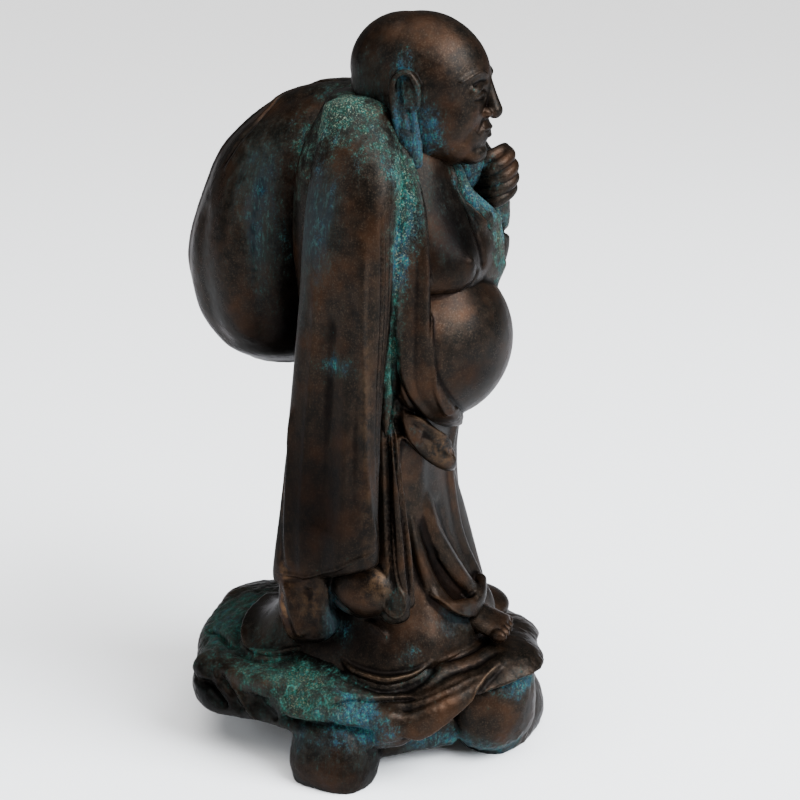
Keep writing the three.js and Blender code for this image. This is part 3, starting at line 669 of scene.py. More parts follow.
# a stroke is its width, its rise, negative for a groove, and points near the surface; the pleats first
pleat_start = np.array([
    (-13.3, -9.2, 44), (-13.4, -9.3, 38), (-13.7, -9.7, 32), (-14.1, -10, 27), (-14.7, -10.5, 20.7),
    (-15.5, -11.3, 15.4), (-15.7, -12.4, 11.6),
])
pleat_end = np.array([
    (-10.9, -11, 44), (-10.9, -11, 38), (-11, -11.3, 32), (-11.2, -11.9, 27), (-11.4, -12.9, 21),
    (-11.9, -13.9, 15), (-12.2, -14.8, 10),
])
pleat_lines = [
    (0.24, -0.6 - 0.2 * (k % 2), pleat_start * (1 - t) + pleat_end * t)
    for k, t in enumerate(np.linspace(0.04, 0.96, 7))
]
band_lines = [
    (0.3, -0.35, [(-18.6 + k, -11.8, 74), (-18.8 + k, -11.8, 55), (-18.4 + k, -11.4, 38),
        (-17.4 + k, -11, 20)])
    for k in (0, 0.9, 1.8)
]
robe_strokes = [
    *pleat_lines,
    *band_lines,
    # the groove between the sleeve and the lapel
    (0.6, -0.9, [(-13.4, -11.4, 72), (-13.6, -11.2, 62), (-13.9, -11.2, 52.3), (-13, -10.4, 44.2),
        (-12.3, -9.1, 38)]),
    # the sleeve's front corner and its soft back ridge
    (0.6, 0.5, [(-20.4, -10, 70), (-20.9, -9.7, 55.3), (-20.6, -9.8, 45.8), (-20.5, -9.8, 35.9),
        (-19.6, -10.1, 25.7), (-18.6, -10.6, 20.5)]),
    (1.2, -0.35, [(-21, -8.4, 62), (-21.2, -8, 50), (-21.2, -8, 38), (-20.8, -8.4, 24)]),
    (0.7, 0.5, [(-20.7, 2.6, 42), (-21, 3.2, 32), (-21.1, 3.6, 22), (-21, 3.4, 15.2)]),
    (0.9, -0.4, [(-20.9, 4.6, 36), (-21, 5, 26), (-21, 5, 15)]),
    (3, -0.5, [(-20.6, -2.6, 58), (-21, -3, 40), (-21, -2.6, 22)]),
    # the sleeve's hem has a thin rolled edge
    (0.3, 0.25, [(-19.5, 6.4, 14.3), (-21, 2.4, 14.6), (-20.8, -0.5, 14.9), (-21.1, -4.3, 16.6),
        (-20.7, -8.5, 18.9), (-18.4, -11, 20.4)]),
    # the cuff of the raised sleeve is a hollow behind the left lapel
    (0.6, -0.9, [(9.8, -17.2, 66.5), (11, -17, 63.6), (10.7, -16.3, 60.3)]),
    (0.5, -0.9, [(11.4, -17.6, 66), (14.4, -16.6, 64.6), (17.4, -13.6, 63)], {"fade": 0.05}),
    # the lapel's front edge stands over the belly, and a shallow trough runs down the band
    (0.4, 0.35, [(-10.6, -15.6, 66), (-10.6, -16, 58), (-12.2, -16.6, 52.8), (-12.2, -16.8, 47.4),
        (-10, -17.2, 43), (-6, -17.2, 39.6), (0.5, -15.6, 36.6)]),
    (0.9, -0.3, [(-13.2, -14.9, 68), (-13.4, -15, 60.5), (-13.8, -15, 52.9), (-12.4, -14.6, 45),
        (-8, -16, 39.4)]),
    (0.4, 0.3, [(-14.2, -12.4, 64), (-14.4, -12.4, 54), (-13.6, -12.2, 46), (-10.6, -13, 39.6),
        (-6, -15, 36.6)]),
    # the sash end's upper edge
    (0.35, 0.5, [(-11, -12.4, 40), (-8.6, -14.6, 37.4), (-4.8, -16.2, 34.2),
        (-0.6, -16, 31.6)], {"lip": 0.3, "reach": 1.4}),
    (1, -0.5, [(-9.6, -13.4, 37), (-6.6, -15.6, 34), (-3, -16.4, 31.6)]),
    (0.6, -0.8, [(-12, -10, 40), (-10.6, -11.6, 35.4), (-7, -13.8, 31.2), (-2.6, -14.6, 28.8)]),
    # the long folds of the skirt
    (0.9, 0.4, [(-4.6, -12.7, 23.8), (-4, -14.2, 18.6), (-2.5, -16, 14.2), (-0.7, -18, 9.6),
        (1.4, -19.4, 6.8)]),
    (1.6, -0.35, [(-6.2, -12.2, 23), (-5.8, -13.8, 17), (-4.6, -15.8, 12), (-2.4, -17.8, 8.6),
        (1, -19.2, 6.6)]),
    (1.3, -0.3, [(-1, -12.8, 24), (0, -13.8, 18), (1.6, -16, 12), (3.6, -18.4, 8)]),
    (0.4, 0.4, [(-8.6, -14.6, 10.6), (-7.3, -16.5, 8.3), (-5.5, -18.5, 6.2), (-2, -20, 4.4),
        (1.3, -21, 3.8)], {"lip": 0.4, "reach": 1.4}),
    # rims of the petals on the rock, and the fold across the front one
    (0.4, 0.35, np.array(front_rim[:9]) + [0, 0, 0.5]),
    (0.4, 0.35, np.array(toe_rim[:5]) + [0, 0, 0.4]),
    (0.4, 0.3, np.array(rear_rim[2:8]) + [0, 0, 0.3]),
    (0.55, 0.5, [(-10, -6.4, 4.9), (-10.6, -8.6, 2.6), (-11.3, -11, 1.1), (-11.8, -13.2, 0.2)]),
    (0.3, 0.3, [(-7.4, -9.4, 3.4), (-8, -11.4, 2.2), (-6.6, -13.6, 1.6), (-4, -13.8, 1.8),
        (-2.8, -12.4, 2.4)]),
    # the block of cloth under the sleeve: a lit left strip, a hollow middle, a turned right edge
    (0.8, 0.7, [(-20.8, 4, 13), (-21, 3, 8.3), (-21, 1.4, 3.9)]),
    (1.4, -0.7, [(-20.8, 0.4, 13), (-20.6, -0.4, 8), (-20.2, -1.2, 4)]),
    (0.4, 0.5, [(-19.3, -2.2, 13.4), (-18.8, -2.4, 8.8), (-18.8, -3, 4.4)]),
    (0.5, -0.6, [(-17.6, -1.9, 11.5), (-17.7, -4.6, 9.1), (-15.4, -7.4, 6.7), (-15.4, -10, 7.5)]),
    (0.4, 0.4, [(-16.8, -10.7, 12.9), (-16.4, -10.9, 10), (-16.5, -12.8, 8.7), (-15.6, -14.1, 9.8),
        (-15.5, -13.5, 13)]),
    # the chest: a full breast over a deep crease
    (3.4, 0.8, [(-5.8, -19, 63.6), (-5.4, -19.4, 61.4)], {"swelling": True}),
    (0.8, 0.45, [(-5, -20, 63.4), (-4.8, -20, 62.8)], {"swelling": True}),
    (0.45, -0.4, [(-6, -18.6, 59.2), (-4.2, -19, 59.6), (-2.9, -19.5, 60.8), (-2.4, -19.8, 62.2)]),
    (1, -0.5, [(0, -14.4, 75), (0, -17.4, 70), (0, -19, 65), (0, -19.4, 61)]),
    # the left lapel's double edge
    (0.4, 0.5, [(0.2, -13.2, 78), (-0.2, -15.8, 72.6), (1.4, -17.8, 69.6), (3.4, -18.8, 67.4)]),
    (0.4, -0.8, [(1.2, -13.4, 77.6), (1, -16, 72.4), (2.6, -18, 69), (4.6, -19, 66.8)]),
    (0.35, 0.3, [(2.4, -13.4, 77.2), (2.4, -16, 72), (4, -18, 68.6), (6, -19, 66.2)]),
]
# damp stood in the folds of the right shoulder, down the side of the neck, in the groove beside the lapel and
# on the left shoulder; painted shade darkens the chest, the belly, the lower sleeve, the cuff and the hem,
# and painted highlights lie on the block, the bulge, the sleeve's edges and the sash end: centre, radii,
# strengths
robe_zones = [
    (-10, -2, 89, 8, 8, 4, 1, 1.3),
    (-13, 0, 83, 7, 7, 6, 0.75, 1.2, 0.1),
    (-14, -7, 80, 4, 5, 6, 0.8, 0.9, 0.2),
    (-15, 6, 80, 4, 4, 12, 0.7, 0.6),
    (-19, 1, 68, 4, 6, 14, 0.2, 0, 0.8, 0.9),
    # painted shade on the chest, the breast and the belly
    (-6, -14, 73, 6, 4, 9, 0, 0, 0, 0.4, 0.6),
    (-6, -17.5, 64.6, 7, 3.4, 5, 0, 0, 0, 0.25, 0.55),
    (-6, -21.5, 46.4, 8, 4.4, 3, 0, 0, 0, 0, 0.5),
    (-20, -3, 72, 3, 3.4, 9, 0.4, 0.3, 0.5, 0.8),
    (-12, -12, 76, 4, 4, 6, 1, 0.9, 0.3),
    (-14, -12, 69, 3.4, 3.4, 5, 1, 0.7, 0.4),
    (-15, -11.6, 64, 2, 2.6, 3.4, 0.9, 0, 1.2),
    (-14.8, -11.4, 60, 1.1, 1.8, 8, 1.2, 0.7, 0.3),
    (-14.6, -11.2, 48, 1.1, 1.8, 8, 1.2, 0.6, 0.2),
    (-12.4, -9.4, 41, 2, 2, 5, 0.9, 0.3, 0.4),
    (-20.8, -6, 49.4, 2.6, 3.2, 2, 1, 0.3, 0.7, 0.5),
    (-11, -12.6, 34, 2.4, 2.4, 4, 0.5, 0.1, 1),
    (3, -14.6, 73, 4, 4, 6, 1.1, 0.9, 0.6),
    (7, -14, 74, 5, 5, 7, 0.6, 0.4, 0.5),
    (8, -16, 67, 4, 4, 5, 1, 0.7, 0.6),
    (12, -14, 68, 5, 5, 7, 0.8, 0.5, 0.5),
    (7, -17.6, 61, 4, 3, 5, 1.1, 0.7, 0.5),
    (-15.4, -12, 10, 2.4, 2.6, 3.6, 0.6, 0.2, 0.6, 0.7),
    (-11.6, -13.4, 1.4, 3.4, 2.6, 2.6, 0.95, 0.2, 0.8, 0.6),
    (-19, -3, 6, 2, 2, 5, 0, 0, 0.9, 1),
    (-16.4, -4, 7, 2, 2.4, 6, 0.7, 0, 0.7, 0.7),
    (-17, 12, 2, 7, 8, 7, 0, 0, 0.1, 0.9),
    (-19, 9, -1, 6, 6, 2, 0.9, 0.2),
    (-5.6, -18, 5, 5, 4, 3, 0, 0, 1, 0.7),
    (0, 12, 60, 14, 6, 20, 0.3, 0.3, 0.2),
    # painted highlights on the block's left strip, its middle and the bulge
    (-21, 4.4, 9, 1, 1.2, 6, 0, 0, 0, 0, 0, 0.8),
    (-20.6, -0.2, 10, 1.6, 1.6, 4, 0, 0, 0, 0, 0, 0.25),
    (-16.6, -9.4, 14, 2.4, 2.4, 2.6, 0, 0, 0, 0, 0, 0.3),
    # painted shade on the lower sleeve and the chest, and in the cuff's hollow
    (-21, -1, 26, 6, 10, 18, 0, 0, 0, 0, 0.8),
    (-4, -18, 68, 8, 5, 8, 0, 0, 0, 0, 0.4),
    (11, -16.8, 62.6, 1.8, 2, 3.2, -0.8, 0, 0, 0, 0.9),
    # painted highlights on the sleeve's front corner, its back ridge and the sash end
    (-20.6, -10, 40, 0.7, 0.7, 24, 0, 0, 0, 0, 0, 0.12),
    (-20.2, 4.4, 28, 0.8, 0.7, 16, 0, 0, 0, 0, 0, 0.35),
    (-5, -16.2, 34, 4.4, 1.6, 3, 0, 0, 0, 0, 0, 0.3),
    # painted shade round the foot of the hem on the rock
    (-18, -1, 3, 6, 8, 4, 0, 0, 0, 0, 0.6),
    (-14, -5, 5, 5, 8, 5, 0, 0, 0, 0, 0.5),
]
robe_forms = [robe_body, *trunk, *borders, *skirt, right_sleeve, *left_sleeve, *hem]
robe = cast_in_one("robe", robe_forms, voxel=0.52 * MM, soften=5)
finish_casting(robe, 198000, robe_strokes, robe_zones, grain=0.01, rough=0.6)
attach(robe, "root")
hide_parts("budai_figure")


# The sack
# A full cloth bag that swells behind the back and is drawn over the left shoulder. It is bronze, modelled in
# the same wax as the robe and cast in one with it.

sack_rows = [
    (43, 4, 17, 7, 7, 6, 8, 2),
    (46, 4, 17, 12.5, 12.5, 10, 11.4, 2),
    (52, 4, 16.6, 16.2, 16.2, 12, 15.4, 2),
    (61, 4, 16, 17.5, 17.5, 12, 16.4, 2.1),
    (70, 4, 14, 16.6, 16.6, 11, 15.8, 2.1),
    (78, 4, 11, 14, 14, 10, 15, 2.1),
    (84, 4.5, 8, 10.5, 10, 9, 11.6, 2),
    (87, 5, 6, 7, 7, 7, 7, 2),
]
sack_creases = [
    (-168, 60, -178, 90, 6, -1), (-150, 56, -166, 90, 5, 0.7), (150, 58, 172, 90, 6, 0.8),
    (176, 44, 150, 84, 7, -0.6),
]
sack_neck = [
    (6, 8, 80, 7, 6), (10.6, -1, 83.5, 4.6, 3.6), (12.4, -8.4, 80.5, 3, 2.6), (12.3, -14, 75.5, 2.4, 2.2),
    (12.2, -15.6, 70.4, 2.8, 1.8),
]
# the bag, its neck over the shoulder, the cloth gathered in the fist, and the swelling behind the head
sack_forms = [
    loft(sack_rows, folds=sack_creases, cap_high=1.6),
    limb(sack_neck, around=60),
    blob((9, -12.4, 75.4), (3.6, 3, 5), turn=(20, 0, 0)),
    blob((3, 12, 84.4), (6, 8, 3.2), turn=(-14, 0, 0)),
]
# the cloth laps over itself along the top, with a dark slit under the lap
sack_strokes = [
    (0.36, -1.3, [(-8, 22, 74.6), (-6.7, 20, 78.1), (-5.7, 19.1, 79.8), (-4.6, 17.6, 82), (-1.8, 16.7, 84),
        (1.1, 15.4, 85.8), (3.1, 12.9, 87.3), (2.3, 8.7, 88.2), (3.1, 5.3, 88.3)]),
    (0.5, 0.2, [(-8.8, 21, 74), (-7.6, 19, 77.4), (-5.6, 16.6, 81), (-2.8, 15.4, 83.6), (0, 14, 85.6)]),
    (3, 0.5, [(-11.4, 17.4, 74.6), (-12.9, 18.3, 66.3), (-13, 17.8, 56.8), (-9.6, 16, 47.2)]),
    (2, -0.6, [(-11.3, 12.4, 76), (-13, 13.6, 68), (-13, 13.6, 58), (-9, 13.6, 48)]),
    (2.4, -0.4, [(-9, 24, 70), (-10.6, 24, 62), (-10.6, 23, 54), (-6, 22, 46)]),
    (1.4, -0.7, [(10, 26, 82), (11, 31, 72), (10, 31, 60), (8, 27, 50)]),
    (1.2, -0.7, [(16, 20, 82), (19, 22, 72), (19, 21, 60), (15, 19, 50)]),
    (1.2, 0.5, [(7, 27, 80), (6, 31, 72), (6, 31, 62)]),
    (1.2, 0.6, [(14, 24, 82), (15, 27, 74), (15, 26, 62)]),
]
# damp on the shoulder, on the neck of the bag and on its top, and painted shade on the bag's lower part and
# where it meets the sleeve: centre, radii, strengths
sack_zones = [
    (-4, 4, 89, 8, 7, 4, 1, 0.9, 0.1),
    (-10, 6, 82, 4, 4, 6, 0.8, 0.9, 0.2),
    (6.4, -14, 74.4, 3, 3, 4.4, 0.95, 0.4, 0.9),
    (-10, 14, 76, 7, 6, 12, 0.3, 0.2, 0.4, 0.9),
    (-12, 12.6, 64, 4, 3, 10, 0.4, 0.2, 0.6, 0.8),
    (-12, 8, 70, 4, 2.6, 14, 0.3, 0.8, 0, 0, 0.6),
    (-9, 8, 52, 9, 7, 12, 0, 0, 0, 0, 0.8),
    (-8, 18, 46, 10, 10, 8, 0, 0, 0, 0, 0.6),
    (10, -4, 82, 6, 6, 6, 0.9, 0.6, 0.7),
    (12, -14, 74, 4, 4, 6, 0.9, 0.4, 0.9),
    (10, 22, 82, 9, 8, 8, 0.6, 0.5, 0.2),
]
sack = cast_in_one("sack", sack_forms, voxel=0.7 * MM, soften=6)
finish_casting(sack, 100000, sack_strokes, sack_zones)
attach(sack, "root")
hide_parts("budai_figure")


# The head
# Bald, with long ear lobes, turned to the figure's left. It is bronze and part of the same casting, and its
# features were cut in the wax. The face is a calm one of plain proportions.

HEAD_TURN = 13
head_place = np.array([0, -9, 89.6])


def on_head(points, side=1):
    """Points on the upright head at the origin, mirrored to the given side, turned and put on the figure."""
    return turned(np.array(points, float) * [side, 1, 1], (0, 0, HEAD_TURN)) + head_place


ear_rim = [
    (8.9, -1.5, -3, 0.6, 0.5), (9.3, -1.5, 0.2, 0.8, 0.6), (9.4, 0, 2, 0.8, 0.7), (9.5, 1.7, 1.2, 0.8, 0.7),
    (9.4, 2.2, -1.4, 0.8, 0.7), (9.3, 1.8, -4.6, 0.8, 0.6), (9, 1.2, -8, 0.7, 0.5),
]
ear_lobe = [
    (8.6, 0.3, -2, 1.4, 0.7), (8.9, 0.2, -5, 1.8, 0.9), (8.8, -0.2, -8.5, 2, 1.1),
    (8.6, -0.5, -11.4, 1.8, 1.1),
]
# the skull, the crown, the cheeks, the jaw, the nose, the mouth, the lips and the chin
head_forms = [
    blob((0, 0.1, 0), (8.9, 10.8, 10.4)),
    blob((0, 2.4, 2.2), (7.9, 8.6, 8.1)),
    blob((0, -1.8, -4), (8, 8.4, 8.6)),
    blob((0, -4.4, -8), (5.2, 5.4, 4.8)),
    limb([(0, -9.6, 1.6, 0.9, 0.8), (0, -10.6, -1.8, 1, 1), (0, -11.3, -4.2, 1.4, 1.3)]),
    blob((0, -7.4, -7.2), (4.4, 3.3, 3.4)),
    blob((0, -9.8, -6.9), (2.9, 1.3, 0.8), turn=(10, 0, 0)),
    blob((0, -9.6, -8.1), (2.4, 1.4, 0.8)),
    blob((0, -7.5, -10.6), (2.8, 2.7, 2)),
]
# a closed eye, the side of the nose, and an ear with its rim and its lobe, on both sides
for side in (-1, 1):
    head_forms += [
        blob((side * 3.3, -8.8, -1), (2.1, 1.3, 1.2)),
        blob((side * 1.5, -10.2, -4.5), (0.9, 1.1, 0.8)),
        blob((side * 8.8, 0.3, -1.2), (1.1, 2.2, 3.8)),
        limb(np.array(ear_rim) * [side, 1, 1, 1, 1]),
        limb(np.array(ear_lobe) * [side, 1, 1, 1, 1], side=(0, 1, 0)),
    ]
neck = blob((0, -8.6, 80), (5.4, 5.2, 8))
head_forms = [*map(on_head, head_forms), neck]
# damp below the ears and down the neck, a film on the side of the head, and painted shade on the side of the
# head and on the jaw: centre, radii, strengths
head_zones = [
    (-9.4, -11, 84, 2.4, 3, 9, 0.9, 0.2, 1),
    (-8, -14, 78, 4, 4, 4, 0.8, 0.2, 1),
    (9.4, -7, 84, 2.4, 3, 9, 0.8, 0.3, 0.8),
    (-6, -14, 83.5, 2.4, 2.2, 4.6, 0.85, 0.1, 0.9),
    (-7.4, -9.6, 93, 2.4, 2.4, 2.4, 0.7, 0, 0.7),
    (-7, -3, 86, 5, 5, 7, 0.45, 0.2, 0.1, 0.6),
    (-8, -5, 91, 4, 5, 6, 0, 0, 0, 0.4, 0.5),
    (-6.4, -15, 86, 3, 3.4, 5, 0, 0, 0, 0.2, 0.5),
    (0, 0, 82, 8, 6, 6, 0.7, 0.5, 0.2),
]
# brows, lids, lips and the edges of the ears, the same on both sides
head_strokes = [
    (0.3, -0.4, on_head([(-2.9, -10.6, -7.1), (0, -11.6, -7.5), (2.9, -10.6, -7.1)])),
    (0.6, -0.4, on_head([(-2.2, -10.6, -9.2), (0, -11, -9.3), (2.2, -10.6, -9.2)])),
]
for side in (-1, 1):
    head_strokes += [
        (2.4, 0.6, on_head([(4.4, -8.4, -3.4), (4.8, -7.8, -5.2)], side), {"swelling": True}),
        (0.4, 0.35, on_head([(1.3, -11, 1), (3.6, -10.6, 2), (6, -9, 1.2), (7.2, -7.6, 0.2)], side)),
        (0.22, -0.35, on_head([(1.6, -10.4, -1.3), (3.4, -10.4, -0.9), (5.2, -9, -1.5)], side)),
        (0.3, -0.3, on_head([(1.6, -10.6, 0.3), (3.4, -10.4, 0.6), (5.4, -9.2, 0)], side)),
        (0.3, -0.25, on_head([(1.8, -10.2, -2.2), (3.4, -10, -2.5), (5, -9, -2.2)], side)),
        (0.5, -0.25, on_head([(2.1, -11, -5), (3, -10.4, -6), (3.8, -9.6, -7.4)], side)),
        (0.5, -0.35, on_head([(10, 0, -3), (9.8, -0.6, -5), (9.6, -0.6, -7)], side)),
        (0.35, -0.5, on_head([(10, -0.6, 1), (10, 0.6, 1.4), (10, 1.2, 0), (9.8, 0.6, -3)], side)),
    ]
head = cast_in_one("head", head_forms, voxel=0.35 * MM, soften=10)
finish_casting(head, 120000, head_strokes, head_zones, rough=0.5, grain=0.02)
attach(head, "root")
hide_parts("budai_figure")


# The left hand
# A fist round the sack's neck, in front of the left shoulder. It is bronze, cast in one with the sleeve and
# the sack, with its fingers rolled in wax and laid side by side.

palm = blob((12.4, -16, 74.2), (3.4, 3.3, 4), turn=(10, 0, 0))
wrist = limb([(13.4, -13.6, 70, 2.6, 2.4), (12.8, -15, 73, 2.6, 2.4)])
hand_forms = [palm]
# the fingers from the top down, and how far each is drawn in
for i, curl in enumerate([0.5, 0, 0.1, 0.6]):
    z, y = 76.5 - 1.7 * i, -15.4 - 0.2 * i
    finger = [
        (9.4, y + 1.4, z - 1.9, 0.7, 0.7), (9.2, y - 1, z - 1.4, 0.95, 0.9),
        (10.6, y - 2.9 + curl, z - 0.5, 1.05, 1), (13, y - 3.1 + curl, z + 0.5, 1.05, 1),
        (15.4, y - 1.2 + curl, z + 1, 0.9, 0.9),
    ]
    hand_forms.append(limb(finger, side=(0, 0, 1)))
thumb = [
    (9.4, -13.6, 74.8, 1, 1), (10.2, -15.4, 76.6, 1.1, 1), (12, -16.6, 77.6, 1, 0.95),
    (13.8, -16.8, 78, 0.8, 0.8),
]
hand_forms += [limb(thumb, side=(0, 0, 1)), wrist]
hand_zones = [
    (10, -14.6, 75, 2.4, 2.4, 3, 0.9, 0.3, 1),
    (12, -15, 70, 4, 3, 2.4, 0.8, 0.2, 0.7),
    (9.6, -17, 73.6, 1.2, 1.8, 3, 0.7, 0.3, 0.6),
]
hand = cast_in_one("left_hand", hand_forms, voxel=0.3 * MM, soften=2)
finish_casting(hand, 50000, zones=hand_zones, grain=0.02)
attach(hand, "root")
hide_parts("budai_figure")


# The foot
# The right foot's toes show under the hem at the front. They are bronze, cast in one with the hem and the
# rock under them.

foot_forms = [limb([(0.2, -12, 3.6, 3, 2.4), (1, -18, 3.4, 3.6, 2), (1.4, -22.6, 2.2, 4, 1.5)])]
# the toes, each a little lower towards the figure's left
foot_forms += [
    blob((-2 + 1.7 * i, -24 + 0.12 * i * i, 2), (1, 1.5, 1.1 - 0.06 * i), around=36, along=24)
    for i in range(5)
]
foot = cast_in_one("foot", foot_forms, voxel=0.35 * MM, soften=2)
finish_casting(foot, 30000)
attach(foot, "root")
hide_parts("budai_figure")


# The plinth
# A slab of rock with a lobed rim on four low stones, of bronze and cast in one with the figure. Its ledges
# and cracks were cut in the wax, and the damp has left the thickest crust here.

HALF_WIDTH, HALF_DEPTH = 58.0, 66.0
SLAB_CENTRE_Y = 3.0
RIM = 15.0
RISE = 9.0
CLEARANCE = 16.0
STONE_OVERLAP = 6.0


def lobe(a):
    """The rim's outline as a factor on its radius: three cosines of the angle round the slab."""
    return 1 + 0.03 * np.cos(6 * a + 0.9) + 0.035 * np.cos(3 * a - 0.4) + 0.02 * np.cos(9 * a)


def sag(a):
    """How far the rim hangs down at an angle, in mm."""
    return 3.4 * np.cos(a + 1.35) - 2.2 * np.cos(4 * a + 0.3) + 1


# where the rim is thin, since a boulder shows under it: the middle, half the width and the fade of that part
# in degrees, how much of its height is missing, and how much higher it hangs in mm
THIN_MIDDLE, THIN_HALF, THIN_FADE, THIN_SHARE, THIN_LIFT = -2, 28, 26, 0.8, 5


def thin(a):
    """How much of the rim's height is missing at an angle."""
    off = np.abs((np.degrees(a) + 180) % 360 - 180 - THIN_MIDDLE) - THIN_HALF
    return THIN_SHARE * (1 - smooth(off / THIN_FADE))


def slab(around=260, rings=160):
    """A grid of points round the slab: the section from the middle of the top, over the rim, to the middle of
    the underside is carried round an ellipse, with its radius times the lobe and its height less the sag."""
    top = PLINTH_TOP / MM
    edge = top - RISE
    section = [
        (0, top, 0), (0.3, top, 0), (0.62, top - RISE * 0.06, 0), (0.84, top - RISE * 0.4, 0.5),
        (0.97, edge + RIM * 0.1, 1), (1, edge - RIM * 0.3, 1), (0.96, edge - RIM * 0.7, 1),
        (0.84, edge - RIM * 0.9, 0.8), (0.6, CLEARANCE, 0.3), (0.3, CLEARANCE, 0), (0, CLEARANCE, 0),
    ]
    reach, height, hang = between(section, np.linspace(0, len(section) - 1, rings)).T[:, :, None]
    a = np.linspace(0, 2 * math.pi, around, endpoint=False)[None, :]
    r = np.maximum(reach, 0) * (1 + (lobe(a) - 1) * np.minimum(1, hang * 2))
    height = np.where(height < edge, edge + (height - edge) * (1 - thin(a)), height)
    height = height + THIN_LIFT * thin(a) * np.clip((reach - 0.5) / 0.4, 0, 1)
    x, y = HALF_WIDTH * r * np.sin(a), SLAB_CENTRE_Y - HALF_DEPTH * r * np.cos(a)
    return np.stack([x, y, height - hang * sag(a)], -1)


def stone(share_x, share_y, width, depth):
    """A rounded stone on the ground, a loft of outlines, at shares of the slab's half width and depth."""
    x, y = share_x * HALF_WIDTH, SLAB_CENTRE_Y + share_y * HALF_DEPTH
    top = CLEARANCE + STONE_OVERLAP
    rows = [
        (z, x * inward, y * inward, *[width / 2 * size] * 2, *[depth / 2 * size] * 2, square)
        for z, inward, size, square in
        [(0, 1, 0.9, 3), (top * 0.35, 1, 1, 2.8), (top * 0.8, 0.97, 0.9, 2.5), (top, 0.93, 0.7, 2.3)]
    ]
    return loft(rows, around=90, along=40, cap_low=0, cap_high=STONE_OVERLAP / 2)


# between two of the stones the slab's edge hangs almost to the ground
low_edge = [(-18.5, -8.6, -13, 2.8, 1.4), (-13.6, -13.6, -13.2, 2.6, 1.4), (-8, -18.4, -13, 2.8, 1.4)]
rolled_sheet = [
    (-21.4, -13, -7.4, 1.4, 1), (-19, -17, -7.8, 2.2, 1.3), (-16, -20.2, -6.4, 2.2, 1.3),
    (-12.6, -22.8, -4.4, 1.6, 1.1), (-8.4, -25, -2.6, 0.9, 0.8), (-3, -26.8, -1.4, 0.5, 0.6),
]
# the sheet of rock at the left of the image, the tongue, the mass in front of it, the rolled sheet, the low
# edge, the front boulder and the rear one
ledges = [
    blob((-17.5, 10, -3.9), (8, 13, 1.5), turn=(0, 4, -16), flat=0.4, around=140, along=60),
    blob((-20.4, -3.6, -4.6), (5.4, 5.6, 1.5), turn=(0, 6, 10), flat=0.4, around=120, along=60),
    blob((-18.4, -9.6, -8), (4.6, 7, 3.4), turn=(0, 0, -14), flat=0.6, around=120, along=60),
    limb(rolled_sheet, side=(0, 0, 1), around=48, along=120),
    limb(low_edge, side=(0, 0, 1), around=36, along=40),
    blob((-0.6, -22.6, -9.4), (8.6, 6.8, 7.8), flat=0.7),
    blob((-20.8, 17.4, -5.4), (3.8, 4.2, 3.6), flat=0.8),
]
# the slab, and its right, left, front and rear stones
plinth_forms = [
    slab(),
    stone(-0.81, -0.2, 26, 30),
    stone(0.72, 0.08, 24, 30),
    stone(0.19, -0.77, 42, 24),
    stone(-0.09, 0.8, 30, 24),
]
